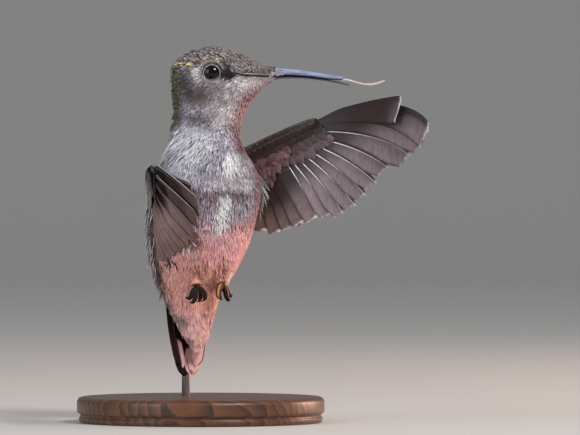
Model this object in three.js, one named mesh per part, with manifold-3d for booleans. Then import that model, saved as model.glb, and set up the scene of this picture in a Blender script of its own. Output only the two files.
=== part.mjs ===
// Ruby-throated hummingbird, female, hovering upright with its wings swept forward at the end of the
// forward stroke, held by a small round stand. Millimetres, +Z up. The origin is the centre of the base's
// underside, under the stand's rod. The bill points along +X, the breast faces about -Y and +X.
import * as THREE from "three";
import { LoftGeometry } from "three/addons/geometries/LoftGeometry.js";
import { mergeVertices } from "three/addons/utils/BufferGeometryUtils.js";
import Module from "manifold-3d";

const wasm = await Module();
wasm.setup();

// ---------- driving dimensions ----------
const GAP = 0.3; // space that neighbouring pieces keep
const VANE_THICKNESS = 0.5;
const BODY_FACING = -58; // degrees from +X to the way the breast faces, about +Z
const WING_LENGTH = 49; // arc along the wing from the body's side to the tip
const EYE_RADIUS = 2.4;
const EYE_OPENING = 1.55; // radius of the opening between the lids
const EYE_PLACE = { x: 2.3, z: 67.45, halfSpan: 3.25 };
const HEAD_PLANE_Y = -5; // the head's own middle plane
const BASE_RADIUS = 24;
const BASE_HEIGHT = 5;
const ROD_RADIUS = 0.8;
const ROD_PLACE = { x: -3, y: 5.9 }; // behind the tail
const ROD_FOOT = 2; // the rod starts this high, in a socket in the base
const ROD_TOP = 33.5;

const COLOURS = {
  crown: 0x6f6a52,
  throat: 0xa8a0a6,
  breast: 0xc9a8a2,
  quill: 0x5b4d49,
  rectrix: 0x3a2422,
  bill: 0x2c2f3c,
  eye: 0x0b0807,
  tongue: 0xd9cfc6,
  foot: 0x1d1211,
  walnut: 0x4a2d1c,
  steel: 0xb4b6b8,
};

const radians = THREE.MathUtils.degToRad;
const lerp = THREE.MathUtils.lerp;
const smooth = THREE.MathUtils.smoothstep;

// ---------- solids ----------
// A closed geometry as a manifold-3d solid, with its shared vertices merged and its faces turned outwards.
function solid(geometry) {
  const bare = new THREE.BufferGeometry()
    .setAttribute("position", geometry.attributes.position)
    .setIndex(geometry.index);
  const merged = mergeVertices(bare, 1e-4);
  const corners = [];
  for (let i = 0; i < merged.index.count; i += 3) {
    const [a, b, c] = [0, 1, 2].map((k) => merged.index.getX(i + k));
    if (a !== b && b !== c && c !== a) corners.push(a, b, c);
  }
  const make = (triVerts) =>
    new wasm.Manifold(
      new wasm.Mesh({
        numProp: 3,
        vertProperties: merged.attributes.position.array,
        triVerts: new Uint32Array(triVerts),
      }),
    );
  const made = make(corners);
  return made.volume() > 0 ? made : make(corners.reverse());
}

// A skin over closed sections in order, capped at both ends.
function loft(sections) {
  const [a, b, c] = [0, 1, 2].map((k) => sections[0][Math.floor((k * sections[0].length) / 3)]);
  const along = sections[1][0].clone().sub(sections[0][0]);
  const turning = b.clone().sub(a).cross(c.clone().sub(a)).dot(along);
  const wound = turning < 0 ? sections.map((section) => [...section].reverse()) : sections;
  return solid(new LoftGeometry(wound, { capStart: true, capEnd: true }));
}

const joined = (solids) => solids.reduce((all, one) => all.add(one));

// The largest closed surface of a solid: a sealed hollow is filled and a loose scrap is dropped.
const largest = (whole) => whole.decompose().reduce((a, b) => (b.volume() > a.volume() ? b : a));

function addMesh(group, name, body, colour, roughness, metalness = 0) {
  const kept = largest(body).getMesh();
  const geometry = new THREE.BufferGeometry()
    .setAttribute("position", new THREE.BufferAttribute(new Float32Array(kept.vertProperties), 3))
    .setIndex(new THREE.BufferAttribute(new Uint32Array(kept.triVerts), 1));
  geometry.computeVertexNormals();
  const mesh = new THREE.Mesh(geometry, new THREE.MeshStandardMaterial({ color: colour, roughness, metalness }));
  mesh.name = name;
  group.add(mesh);
}

// A smooth curve through rows of numbers, read at t from 0 to 1; each row holds the same number of values.
function through(rows) {
  const at = (k) => (row) => row[k] ?? 0;
  const curves = [];
  for (let k = 0; k < rows[0].length; k += 3) {
    const points = rows.map((r) => new THREE.Vector3(at(k)(r), at(k + 1)(r), at(k + 2)(r)));
    curves.push(new THREE.CatmullRomCurve3(points, false, "catmullrom", 0.5));
  }
  return (t) => curves.flatMap((curve) => curve.getPoint(t).toArray()).slice(0, rows[0].length);
}

// A round tube through centres [x, y, z, radius], tapering as they say.
function taperedTube(rows, sides, rings) {
  const path = new THREE.CatmullRomCurve3(rows.map((r) => new THREE.Vector3(r[0], r[1], r[2])));
  const radiusAt = through(rows.map((r) => [r[3]]));
  const frames = path.computeFrenetFrames(rings, false);
  const sections = [];
  for (let i = 0; i <= rings; i++) {
    const centre = path.getPoint(i / rings);
    const radius = radiusAt(i / rings)[0];
    sections.push(ring(sides, (turn) =>
      centre.clone()
        .addScaledVector(frames.normals[i], radius * Math.cos(turn))
        .addScaledVector(frames.binormals[i], radius * Math.sin(turn))));
  }
  return loft(sections);
}

function ring(sides, pointAt) {
  return Array.from({ length: sides }, (_, j) => pointAt((j / sides) * 2 * Math.PI));
}

// ---------- head, neck and torso ----------
// Stations from the bill's base to the tip of the under-tail coverts: centre x, y, z, depth from back to
// breast, width, tilt of the section about Y, and the way that its ventral side faces about Z.
const STATIONS = [
  /* bill base    */ [13.85, -5, 67.4, 3.2, 3.0, -57, 0],
  /* lores        */ [12, -5, 67.5, 4.9, 4.6, -67, 0],
  /* forehead     */ [10.2, -5, 67.55, 7.5, 6.8, -67, 0],
  /* brow         */ [8.25, -5, 67.4, 10.3, 9.0, -64.5, 0],
  /* crown        */ [6.05, -5, 67.2, 13.4, 10.7, -59, 0],
  /* hind crown   */ [4.1, -5, 66.15, 15.3, 11.6, -52, 0],
  /* occiput      */ [2.45, -5, 64.8, 16.7, 12.0, -46, -2],
  /* nape         */ [1.4, -5, 63.1, 17.2, 12.2, -40, -8],
  /* upper neck   */ [1.15, -5, 60.0, 15.9, 12.8, -32, -20],
  /* neck         */ [1.45, -4.8, 56.75, 14.8, 13.6, -22.5, -34],
  /* lower neck   */ [1.55, -4.3, 53.4, 15.8, 15.2, -11.5, -47],
  /* shoulders    */ [1.35, -3.7, 49.6, 19.0, 18.6, -3.5, -56],
  /* breast       */ [1, -3.1, 44.5, 22.4, 21.6, 0, BODY_FACING],
  /* belly        */ [0.2, -1.9, 38.7, 21.4, 20.8, 0, BODY_FACING],
  /* lower belly  */ [-0.6, -0.5, 33.3, 19.4, 18.8, 0, BODY_FACING],
  /* flanks       */ [-1.3, 0.6, 28.5, 15.4, 15.6, 0, BODY_FACING],
  /* vent         */ [-1.85, 1.4, 24.5, 11.4, 11.8, 0, BODY_FACING],
  /* tail coverts */ [-1.45, 0.8, 20.4, 7.6, 8.6, 0, BODY_FACING],
  /* covert tips  */ [-0.8, -0.2, 16.2, 4.2, 5.2, 0, BODY_FACING],
  /* last covert  */ [-0.55, -0.6, 13.9, 1.6, 2.2, 0, BODY_FACING],
];
const bodyRow = through(STATIONS);
const BODY_RINGS = 44;
const BODY_SIDES = 26;

// The frame of the body's section at t: its centre, half sizes, and unit vectors to the ventral and left sides.
function bodySection(t) {
  const [x, y, z, depth, width, tilt, facing] = bodyRow(t);
  const forward = new THREE.Vector3(Math.cos(radians(tilt)), 0, Math.sin(radians(tilt)));
  const away = new THREE.Vector3(0, 1, 0);
  const turn = radians(facing);
  const ventral = forward.clone().multiplyScalar(Math.cos(turn)).addScaledVector(away, Math.sin(turn));
  const left = forward.clone().multiplyScalar(-Math.sin(turn)).addScaledVector(away, Math.cos(turn));
  const towardsBill = forward.clone().cross(away).normalize();
  return { centre: new THREE.Vector3(x, y, z), depth: depth / 2, width: width / 2, ventral, left, towardsBill };
}

// The whole of head, neck, torso and tail coverts as one solid, grown outwards by offset all over.
function bodySolid(offset) {
  const sections = [];
  const addRing = (section, along) =>
    sections.push(ring(BODY_SIDES, (turn) =>
      section.centre.clone()
        .addScaledVector(section.towardsBill, along)
        .addScaledVector(section.ventral, (section.depth + offset) * Math.cos(turn))
        .addScaledVector(section.left, (section.width + offset) * Math.sin(turn))));
  if (offset > 0) addRing(bodySection(0), offset);
  for (let i = 0; i <= BODY_RINGS; i++) addRing(bodySection(i / BODY_RINGS), 0);
  if (offset > 0) addRing(bodySection(1), -offset);
  return loft(sections);
}

// A thin plate across the body at t, which parts it with a gap.
function partingPlate(t) {
  const section = bodySection(t);
  const across = new THREE.Matrix4().makeBasis(section.ventral, section.left,
    section.ventral.clone().cross(section.left));
  across.setPosition(section.centre);
  return solid(new THREE.BoxGeometry(60, 60, GAP).applyMatrix4(across));
}

const stationAt = (index) => index / (STATIONS.length - 1);
const HEAD_CUT = stationAt(8.2);
const NECK_CUT = stationAt(10.6);
const TAIL_CUT = stationAt(15.9);

// ---------- eyes ----------
function eyeCentre(side) {
  return new THREE.Vector3(EYE_PLACE.x, HEAD_PLANE_Y + side * EYE_PLACE.halfSpan, EYE_PLACE.z);
}

function ball(centre, radius, sides) {
  return solid(new THREE.SphereGeometry(radius, sides, sides / 2).translate(...centre.toArray()));
}

// The rim of the lids: a ring in front of the eyeball whose inner edge leaves the opening.
function lidRing(side) {
  const rimRadius = 0.25;
  const clearOfEye = Math.sqrt((EYE_RADIUS + GAP) ** 2 - EYE_OPENING ** 2);
  const centre = eyeCentre(side);
  return solid(new THREE.TorusGeometry(EYE_OPENING + rimRadius, rimRadius, 6, 18)
    .rotateX(Math.PI / 2)
    .translate(centre.x, centre.y + side * clearOfEye, centre.z));
}

// ---------- bill and tongue ----------
// Rows of centre x, z, depth and width for each half of the bill, from the feathers to the tip.
const UPPER_BILL = [
  [12.1, 67.95, 2.1, 2.6],
  [14.2, 67.8, 1.64, 2.0],
  [17.7, 67.6, 1.35, 1.65],
  [21.2, 67.3, 1.15, 1.35],
  [24.4, 66.84, 1.0, 1.1],
  [26.9, 66.58, 0.8, 0.85],
  [27.6, 66.5, 0.4, 0.4],
];
const LOWER_BILL = [
  [12.1, 66.3, 0.9, 2.4],
  [15.5, 66.37, 0.6, 1.75],
  [19.2, 66.31, 0.42, 1.35],
  [22.5, 66.02, 0.42, 1.1],
  [25.2, 65.7, 0.42, 0.9],
  [27.2, 65.48, 0.4, 0.75],
  [28.7, 65.2, 0.3, 0.35],
];
function billHalf(rows) {
  const at = through(rows.map(([x, z, depth, width]) => [x, z, depth, width]));
  const rings = 14;
  const sections = [];
  for (let i = 0; i <= rings; i++) {
    const [x, z, depth, width] = at(i / rings);
    sections.push(ring(10, (turn) => new THREE.Vector3(
      x, HEAD_PLANE_Y + (width / 2) * Math.sin(turn), z + (depth / 2) * Math.cos(turn))));
  }
  return loft(sections);
}

// A slit in each side of the upper bill near its base, under the edge of the forehead's feathers.
function nostril(side) {
  return solid(new THREE.CapsuleGeometry(0.16, 0.9, 3, 6)
    .rotateZ(Math.PI / 2)
    .rotateY(radians(6))
    .translate(15.3, HEAD_PLANE_Y + side * 1.0, 67.9));
}

const TONGUE = [
  [27.95, 66.4, 0.22],
  [29.3, 66.05, 0.24],
  [30.6, 65.65, 0.25],
  [32.2, 65.32, 0.25],
  [33.9, 65.5, 0.24],
  [35.6, 66.1, 0.16],
];

// The line of the mouth, which runs back from the bill under the eye: a shallow groove in the head's sides.
function mouthGroove() {
  const depth = 0.5;
  const slab = solid(new THREE.BoxGeometry(8.5, 16, GAP)
    .rotateY(radians(6.5))
    .translate(11.1, HEAD_PLANE_Y, 67.1));
  return slab.intersect(bodySolid(GAP)).subtract(bodySolid(-depth));
}

// ---------- feathers ----------
// A flat vane. place(along, across, rise) gives a point of the frame that it lies in. The shaft runs from
// root to tip, bowed sideways; lead and trail are the widths of its two webs, and the vane leans so that
// its leading edge rises and its trailing edge sinks. Both faces are split into triangles alike.
function vane({ place, root, tip, bow = 0, lead, trail, lean = 0, lift = 0, bend = 0, segments = 6,
  thickness = VANE_THICKNESS, narrow = 0.35, point = 0.12 }) {
  const along = new THREE.Vector2(tip[0] - root[0], tip[1] - root[1]);
  const side = new THREE.Vector2(along.y, -along.x).normalize();
  const vertices = [];
  for (let i = 0; i <= segments; i++) {
    const t = i / segments;
    const swing = 4 * bow * t * (1 - t);
    const web = lerp(narrow, 1, smooth(t, 0, 0.4)) * lerp(1, point, smooth(t, 0.78, 1));
    const leadWeb = lerp(narrow, 1, smooth(t, 0, 0.3)) * lerp(1, point, smooth(t, 0.88, 1));
    const half = (thickness / 2) * lerp(1, 0.4, smooth(t, 0.8, 1));
    const rise = lift + bend * t ** 2.5;
    const corner = (out, up) => place(
      root[0] + along.x * t + side.x * (swing + out),
      root[1] + along.y * t + side.y * (swing + out),
      rise + up);
    const [a, b] = [lead * leadWeb, -trail * web];
    vertices.push(
      ...corner(a, lean * leadWeb + half), ...corner(b, -lean * web + half),
      ...corner(b, -lean * web - half), ...corner(a, lean * leadWeb - half));
  }
  const faces = [];
  for (let i = 0; i < segments; i++) {
    const [p, q] = [4 * i, 4 * (i + 1)];
    faces.push(p, p + 1, q, q, p + 1, q + 1); // upper face
    faces.push(p + 3, q + 3, p + 2, q + 3, q + 2, p + 2); // lower face, split along the same line
    faces.push(p + 1, p + 2, q + 1, q + 1, p + 2, q + 2); // trailing edge
    faces.push(p + 3, p, q + 3, q + 3, p, q); // leading edge
  }
  const last = 4 * segments;
  faces.push(0, 2, 1, 0, 3, 2, last, last + 1, last + 2, last, last + 2, last + 3);
  const geometry = new THREE.BufferGeometry()
    .setAttribute("position", new THREE.Float32BufferAttribute(vertices, 3))
    .setIndex(faces);
  return solid(geometry);
}

// ---------- wings ----------
// Each wing is a sheet that hangs from a curved line through the air: span runs along the line, chord
// down from it, and rise towards the bird's back. The heading turns from root to tip, and beyond the
// wrist the sheet swings towards the front by twist of its chord.
const WINGS = {
  left: { side: 1, origin: [6.8, 2.0, 52.2], heading: [-10, -64], climb: 13.5, twist: 0, lean: 0.34 },
  right: { side: -1, origin: [-7.6, -6.4, 47.4], heading: [-100, -65], climb: -2, twist: 0.4, lean: 0.2 },
};
const WING_CAMBER = 1.3;
const FULL_CHORD = 17;

function wingPlace(wing) {
  const [h0, h1] = wing.heading.map(radians);
  const turnRadius = WING_LENGTH / (h1 - h0);
  return (span, chord, rise) => {
    const bent = Math.max(span, 0);
    const straight = Math.min(span, 0);
    const heading = h0 + bent / turnRadius;
    const out = rise - WING_CAMBER * (chord / FULL_CHORD) ** 2 - wing.twist * chord * smooth(span, 14, 36);
    return [
      wing.origin[0] + turnRadius * (Math.sin(heading) - Math.sin(h0)) + straight * Math.cos(h0)
        - wing.side * out * Math.sin(heading),
      wing.origin[1] - turnRadius * (Math.cos(heading) - Math.cos(h0)) + straight * Math.sin(h0)
        + wing.side * out * Math.cos(heading),
      wing.origin[2] + span * Math.tan(radians(wing.climb)) - chord,
    ];
  };
}

// Rows of the arm: span, chord of its middle, half chord and half thickness, from shoulder to finger.
const ARM = [
  [0.0, 3.2, 3.4, 2.2],
  [2.5, 2.5, 3.2, 1.9],
  [6.0, 1.3, 2.8, 1.5],
  [10.0, 0.0, 2.2, 1.15],
  [14.0, -1.0, 1.6, 0.8],
  [17.5, -1.9, 0.7, 0.4],
];
// Primaries from the innermost to the outermost: span and chord of the tip, how far the tip bends
// towards the bird's front, the bow of the shaft, and the widths of the leading and trailing webs.
const PRIMARIES = [
  [20.4, 16.9, 0, 0.3, 1.3, 2.7],
  [23.5, 17.3, 0, 0.4, 1.3, 2.8],
  [26.4, 16.6, 0, 0.5, 1.25, 2.9],
  [29.0, 15.3, 0, 0.6, 1.2, 3.0],
  [31.5, 13.5, 0, 0.7, 1.15, 3.1],
  [34.8, 11.4, -0.1, 0.9, 1.1, 3.3],
  [41.5, 10.7, -0.3, 1.6, 1.1, 3.7],
  [46.8, 9.1, -0.7, 2.4, 1.2, 4.0],
  [50.0, 8.4, -1.4, 3.4, 1.5, 4.0],
  [40.6, -0.2, -2.2, 1.5, 1.0, 3.4],
];
// Span and chord of the tips of the right wing's primaries, which are folded closer.
const FOLDED_TIPS = [[20.6, 14.4], [22.6, 14.2], [24.8, 13.8], [27.2, 13.1], [30, 12.1], [34, 10.4], [39.5, 8.2],
  [43.5, 5.6], [45, 3], [42, 0.2]];
const FOLDED_CHORD = 0.87; // and how much of their chord its secondaries keep
// Secondaries from the outermost to the innermost.
const SECONDARY_TIPS = [[17.3, 16.6], [14.5, 16.8], [12.2, 17.1], [9.6, 17.4], [6.6, 16.4], [4.2, 14.6]];

function flightFeathers(place, wing) {
  const folded = wing.side < 0 ? FOLDED_TIPS : [];
  const primaries = PRIMARIES.map(([span, chord, bend, bow, lead, trail], i) => {
    const outer = i / (PRIMARIES.length - 1);
    return vane({
      place, tip: folded[i] ?? [span, chord],
      root: [lerp(8.9, 15.2, outer), lerp(1.4, wing.side < 0 ? -0.8 : -1.9, outer)],
      bend, bow, lead, trail, lean: wing.lean, segments: i > 5 ? 7 : 5, point: i === 9 ? 0.5 : 0.12,
    });
  });
  const secondaries = SECONDARY_TIPS.map(([span, chord], i) => {
    const inner = i / (SECONDARY_TIPS.length - 1);
    return vane({
      place, tip: [span, chord * (wing.side < 0 ? FOLDED_CHORD : 1)],
      root: [lerp(8.0, 2.6, inner), lerp(1.1, 1.9, inner)],
      bow: 0.3, lead: 1.5, trail: i === 5 ? 1.6 : 2.3, lean: wing.lean, segments: 5, point: 0.3,
    });
  });
  return { primaries, secondaries };
}

// Two tiers of coverts lie over the roots of the flight feathers, one on each face of the wing.
function coverts(place, face) {
  const over = [];
  const count = 12;
  for (let i = 0; i < count; i++) {
    const outer = i / (count - 1);
    const span = lerp(2.2, 14.6, outer);
    const chord = lerp(1.4, -0.9, outer);
    const fan = radians(lerp(92, 30, outer ** 1.1)); // from straight down the chord to out along the span
    const long = lerp(6.0, 9.0, outer);
    over.push(vane({
      place, root: [span, chord], tip: [span + long * Math.cos(fan), chord + long * Math.sin(fan)],
      lead: 1.0, trail: 1.3, lean: 0.15, lift: face * lerp(0.75, 0.45, outer), bend: -face * 0.25,
      segments: 3, point: 0.35, narrow: 0.7,
    }));
  }
  return over;
}

function armSolid(place) {
  const at = through(ARM);
  const rings = 12;
  const sections = [];
  for (let i = 0; i <= rings; i++) {
    const [span, chord, halfChord, half] = at(i / rings);
    sections.push(ring(10, (turn) => new THREE.Vector3(
      ...place(span, chord + halfChord * Math.cos(turn), half * Math.sin(turn)))));
  }
  return loft(sections);
}

// The alula: three short quills on the thumb, at the wing's bend.
function alula(place) {
  return [0, 1, 2].map((i) => vane({
    place, root: [9.4 + 0.5 * i, -1.2 + 0.3 * i], tip: [14.5 + 0.4 * i, -1.9 + 0.7 * i],
    lead: 0.5, trail: 0.8, lift: -0.75 + 0.1 * i, lean: 0.1, segments: 3, narrow: 0.8,
  }));
}

// The shoulder joins the arm to the body's side, inside which it starts.
function shoulder(wing, place) {
  const inner = bodySection(stationAt(11)).centre.addScaledVector(bodySection(stationAt(11)).left, wing.side * 6);
  return taperedTube([
    [...inner.toArray(), 3.4], [...place(-0.3, 3.0, 0), 2.9], [...place(3, 2.2, 0), 2.1],
  ], 10, 6);
}

// The cut between arm and hand, along the line between the first primary and the first secondary.
function wristPlate(place) {
  const [topSpan, lowSpan] = [8.1, 15.3];
  const [top, low] = [-6, 22];
  const steps = 6;
  const sections = [];
  for (let i = 0; i <= steps; i++) {
    const chord = lerp(top, low, i / steps);
    const span = topSpan + ((lowSpan - topSpan) * (chord - 1)) / (FULL_CHORD - 1);
    sections.push([[-1, -1], [1, -1], [1, 1], [-1, 1]].map(([a, b]) =>
      new THREE.Vector3(...place(Math.max(span, 2) + (a * GAP) / 2, chord, b * 6))));
  }
  return loft(sections);
}

// ---------- tail ----------
// The tail's frame: lateral towards the bird's left, down along the tail, and rise towards its back.
const TAIL_ROOT = new THREE.Vector3(-3.3, 3.8, 27);
const TAIL_TIP = new THREE.Vector3(-1.95, 1.65, 9);
const tailAlong = TAIL_TIP.clone().sub(TAIL_ROOT).normalize();
const tailLeft = new THREE.Vector3(-Math.sin(radians(BODY_FACING)), Math.cos(radians(BODY_FACING)), 0);
const tailBack = tailLeft.clone().cross(tailAlong).normalize();
const tailPlace = (lateral, down, rise) =>
  TAIL_ROOT.clone()
    .addScaledVector(tailLeft, lateral)
    .addScaledVector(tailAlong, down)
    .addScaledVector(tailBack, rise)
    .toArray();

// Rectrices from the middle pair to the outer pair: lateral place of the root and of the tip, length,
// half width, and height in the stack.
const LEFT_HALF_IN = 0.7; // how far the tips of the left half close over the middle
const RECTRICES = [
  [0.6, 0.5, 16.8, 1.3, 0.75],
  [1.2, 0.8, 17.4, 1.4, 0.45],
  [1.9, 1.2, 18.2, 1.45, 0.15],
  [2.6, 1.6, 17.8, 1.35, -0.15],
  [3.2, 2.2, 16.4, 1.15, -0.45],
];
function rectrices() {
  return [-1, 1].flatMap((side) =>
    RECTRICES.map(([rootAt, tipAt, long, half, height], i) => vane({
      place: (a, b, c) => tailPlace(side * a, b, c), root: [rootAt, 0],
      tip: [side > 0 ? tipAt - LEFT_HALF_IN : tipAt, long],
      bow: 0.2 + 0.14 * i, lead: half, trail: half * 1.05, lean: 0.16, lift: height,
      segments: 6, point: 0.3, narrow: 0.6,
    })));
}

// ---------- legs and feet ----------
// Each leg leaves the lower belly beside its middle line.
const LEGS = {
  right: { side: -1, turn: -26, height: 27.2 },
  left: { side: 1, turn: 12, height: 27.6 },
};
function legFrame(leg) {
  const facing = radians(BODY_FACING + leg.turn);
  const out = new THREE.Vector3(Math.cos(facing), Math.sin(facing), 0);
  const across = new THREE.Vector3(-Math.sin(facing), Math.cos(facing), 0);
  const middle = new THREE.Vector3(-1.55, 0.95, leg.height);
  return (away, sideways, up) =>
    middle.clone().addScaledVector(out, away).addScaledVector(across, sideways).setZ(leg.height + up).toArray();
}

// The feathered shank, down to the bare ankle.
function shank(place) {
  return taperedTube([
    [...place(4.0, 0, 2.6), 1.8], [...place(6.0, 0, 1.7), 1.7], [...place(7.3, 0, 0.7), 1.3],
    [...place(7.9, 0, -0.2), 0.7],
  ], 10, 7);
}

// Toes of the right foot, clenched: the outer, middle and inner front toe, then the hind one. Each is a row of
// joints from the ankle to the claw's tip: sideways, up, away from the body, and radius.
const TOES = [
  [[0, -1.0, 8.35, 0.44], [-0.75, -1.75, 8.7, 0.42], [-1.1, -2.6, 8.9, 0.36], [-1.75, -3.05, 8.9, 0.27],
    [-2.25, -2.6, 8.8, 0.1]],
  [[0, -1.1, 8.4, 0.44], [-0.25, -2.1, 8.95, 0.42], [-0.35, -3.1, 9.15, 0.38], [-0.95, -3.85, 9.1, 0.28],
    [-1.6, -3.65, 9.0, 0.1]],
  [[0.1, -1.0, 8.35, 0.44], [1.0, -1.45, 8.7, 0.42], [1.6, -2.3, 8.9, 0.38], [1.45, -3.3, 8.9, 0.28],
    [0.85, -3.75, 8.8, 0.1]],
  [[0.05, -1.1, 8.3, 0.42], [0.6, -2.0, 8.25, 0.38], [0.75, -2.9, 8.3, 0.33], [0.45, -3.6, 8.4, 0.25],
    [0, -3.75, 8.5, 0.1]],
];
function foot(place, side) {
  const ankle = [[...place(8.15, 0, -0.62), 0.42], [...place(8.25, 0, -0.9), 0.42], [...place(8.35, 0, -1.3), 0.48]];
  const toes = TOES.map((joints) => taperedTube(
    joints.map(([sideways, up, away, radius]) => [...place(away, -side * sideways, up), radius]), 6, 11));
  return joined([taperedTube(ankle, 6, 3), ...toes]);
}

// ---------- stand ----------
function baseSolid() {
  const chamfer = 0.8;
  const profile = [[0, 0], [BASE_RADIUS, 0], [BASE_RADIUS, BASE_HEIGHT - chamfer],
    [BASE_RADIUS - chamfer, BASE_HEIGHT], [0, BASE_HEIGHT]].map(([r, z]) => new THREE.Vector2(r, z));
  return solid(new THREE.LatheGeometry(profile, 48).rotateX(Math.PI / 2)).subtract(rodSolid(GAP));
}

function rodSolid(grown = 0) {
  const bottom = ROD_FOOT - grown;
  const length = ROD_TOP + grown - bottom;
  return solid(new THREE.CylinderGeometry(ROD_RADIUS + grown, ROD_RADIUS + grown, length, 16)
    .rotateX(Math.PI / 2)
    .translate(ROD_PLACE.x, ROD_PLACE.y, bottom + length / 2));
}

// ---------- the bird ----------
const bird = new THREE.Group();

const socket = rodSolid(GAP);
const body = bodySolid(0);
const skinClear = bodySolid(GAP);

const eyes = { left: ball(eyeCentre(1), EYE_RADIUS, 20), right: ball(eyeCentre(-1), EYE_RADIUS, 20) };
const legPlaces = { left: legFrame(LEGS.left), right: legFrame(LEGS.right) };

// Head, neck, torso and tail root come from one smooth solid, parted by thin cuts.
const parted = body.subtract(joined([HEAD_CUT, NECK_CUT, TAIL_CUT].map(partingPlate))).decompose()
  .map((piece) => ({ piece, top: piece.boundingBox().max[2] }))
  .sort((a, b) => b.top - a.top)
  .map(({ piece }) => piece);
const [headPiece, neckPiece, torsoPiece, tailPiece] = parted;

const sockets = joined([1, -1].map((side) => ball(eyeCentre(side), EYE_RADIUS + GAP, 20)));
const head = headPiece.add(lidRing(1)).add(lidRing(-1)).subtract(sockets).subtract(mouthGroove());
addMesh(bird, "head", head, COLOURS.crown, 0.8);
addMesh(bird, "neck", neckPiece, COLOURS.throat, 0.85);
addMesh(bird, "torso", torsoPiece.subtract(socket), COLOURS.breast, 0.85);

for (const side of ["left", "right"]) {
  addMesh(bird, `eye_${side}`, eyes[side], COLOURS.eye, 0.05);
}

const nostrils = nostril(1).add(nostril(-1));
addMesh(bird, "bill_upper", billHalf(UPPER_BILL).subtract(skinClear).subtract(nostrils), COLOURS.bill, 0.35);
addMesh(bird, "bill_lower", billHalf(LOWER_BILL).subtract(skinClear), COLOURS.bill, 0.4);
addMesh(bird, "tongue",
  taperedTube(TONGUE.map(([x, z, radius]) => [x, HEAD_PLANE_Y, z, radius]), 6, 10), COLOURS.tongue, 0.3);

for (const [side, wing] of Object.entries(WINGS)) {
  const place = wingPlace(wing);
  const { primaries, secondaries } = flightFeathers(place, wing);
  const whole = joined([armSolid(place), shoulder(wing, place), ...primaries, ...secondaries, ...coverts(place, 1),
    ...coverts(place, -1), ...alula(place)]);
  const pieces = largest(whole).subtract(skinClear).subtract(wristPlate(place)).decompose();
  const origin = new THREE.Vector3(...wing.origin);
  const farReach = (piece) => {
    const { min, max } = piece.boundingBox();
    const middle = new THREE.Vector3(...min).add(new THREE.Vector3(...max)).multiplyScalar(0.5);
    return middle.distanceTo(origin);
  };
  const [arm, hand] = pieces.sort((a, b) => b.volume() - a.volume()).slice(0, 2)
    .sort((a, b) => farReach(a) - farReach(b));
  addMesh(bird, `wing_${side}_arm`, arm, COLOURS.quill, 0.7);
  addMesh(bird, `wing_${side}_hand`, hand, COLOURS.quill, 0.7);
}

const tail = joined([tailPiece, ...rectrices()]);
addMesh(bird, "tail", largest(tail).subtract(partingPlate(TAIL_CUT)).subtract(socket), COLOURS.rectrix, 0.7);

for (const side of ["left", "right"]) {
  const place = legPlaces[side];
  addMesh(bird, `leg_${side}`, shank(place).subtract(skinClear), COLOURS.breast, 0.85);
  addMesh(bird, `foot_${side}`, foot(place, LEGS[side].side), COLOURS.foot, 0.6);
}

addMesh(bird, "stand_base", baseSolid(), COLOURS.walnut, 0.45);
addMesh(bird, "stand_rod", rodSolid(), COLOURS.steel, 0.3, 1);

export default bird;
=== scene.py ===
import math
from functools import partial

import bpy
import numpy as np
from bpy.props import FloatProperty, FloatVectorProperty, IntProperty, PointerProperty
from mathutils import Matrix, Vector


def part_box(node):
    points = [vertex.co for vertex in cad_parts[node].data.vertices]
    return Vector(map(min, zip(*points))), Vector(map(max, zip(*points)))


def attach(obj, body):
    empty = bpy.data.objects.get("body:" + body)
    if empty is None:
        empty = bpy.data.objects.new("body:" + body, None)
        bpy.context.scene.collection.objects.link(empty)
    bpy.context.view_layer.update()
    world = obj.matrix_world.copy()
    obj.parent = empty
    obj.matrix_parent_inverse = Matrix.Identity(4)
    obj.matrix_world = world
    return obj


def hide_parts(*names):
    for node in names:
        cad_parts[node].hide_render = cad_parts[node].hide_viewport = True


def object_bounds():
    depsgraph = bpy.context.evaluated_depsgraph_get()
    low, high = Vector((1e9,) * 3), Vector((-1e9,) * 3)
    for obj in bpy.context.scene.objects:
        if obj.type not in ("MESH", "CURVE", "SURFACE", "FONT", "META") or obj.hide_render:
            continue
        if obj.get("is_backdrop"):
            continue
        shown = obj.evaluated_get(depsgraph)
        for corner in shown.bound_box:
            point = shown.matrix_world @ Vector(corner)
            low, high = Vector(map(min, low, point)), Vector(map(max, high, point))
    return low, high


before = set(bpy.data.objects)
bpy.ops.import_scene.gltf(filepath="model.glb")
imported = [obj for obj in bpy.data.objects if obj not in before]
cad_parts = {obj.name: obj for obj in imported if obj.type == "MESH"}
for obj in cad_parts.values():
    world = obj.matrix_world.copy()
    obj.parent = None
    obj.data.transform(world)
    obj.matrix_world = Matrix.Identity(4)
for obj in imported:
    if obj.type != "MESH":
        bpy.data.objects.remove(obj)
CAD_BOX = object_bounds()

bl_info = {
    "name": "Hovering Hummingbird",
    "version": (1, 0, 0),
    "blender": (4, 5, 0),
    "location": "View3D > Sidebar > Hummingbird",
    "description": "Builds a female ruby-throated hummingbird, feather by feather, on a display stand",
    "category": "Add Mesh",
}

# Places are millimetres in the model's own frame, +Z up, until Stock.write() turns them to metres.
MM = 0.001
TAU = 2 * math.pi
HEAD_PLANE = -5.0  # the head's own middle plane, along Y
BODY_FACING = -58  # degrees from +X to the way the breast faces
EYE = {"x": 2.3, "z": 67.45, "half_span": 3.25, "radius": 2.4, "opening": 1.5}


# ---------- numbers and curves ----------
def lerp(a, b, t):
    """a at t 0 and b at t 1, straight between."""
    return a + (b - a) * t


def smooth(x, low, high):
    """0 below low and 1 above high, with the cubic 3x^2 - 2x^3 between."""
    x = np.clip((np.asarray(x, float) - low) / (high - low), 0, 1)
    return x * x * (3 - 2 * x)


def window(x, low, high, soft):
    """1 between low and high, falling to 0 within soft on either side."""
    return smooth(x, low - soft, low) * (1 - smooth(x, high, high + soft))


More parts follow.
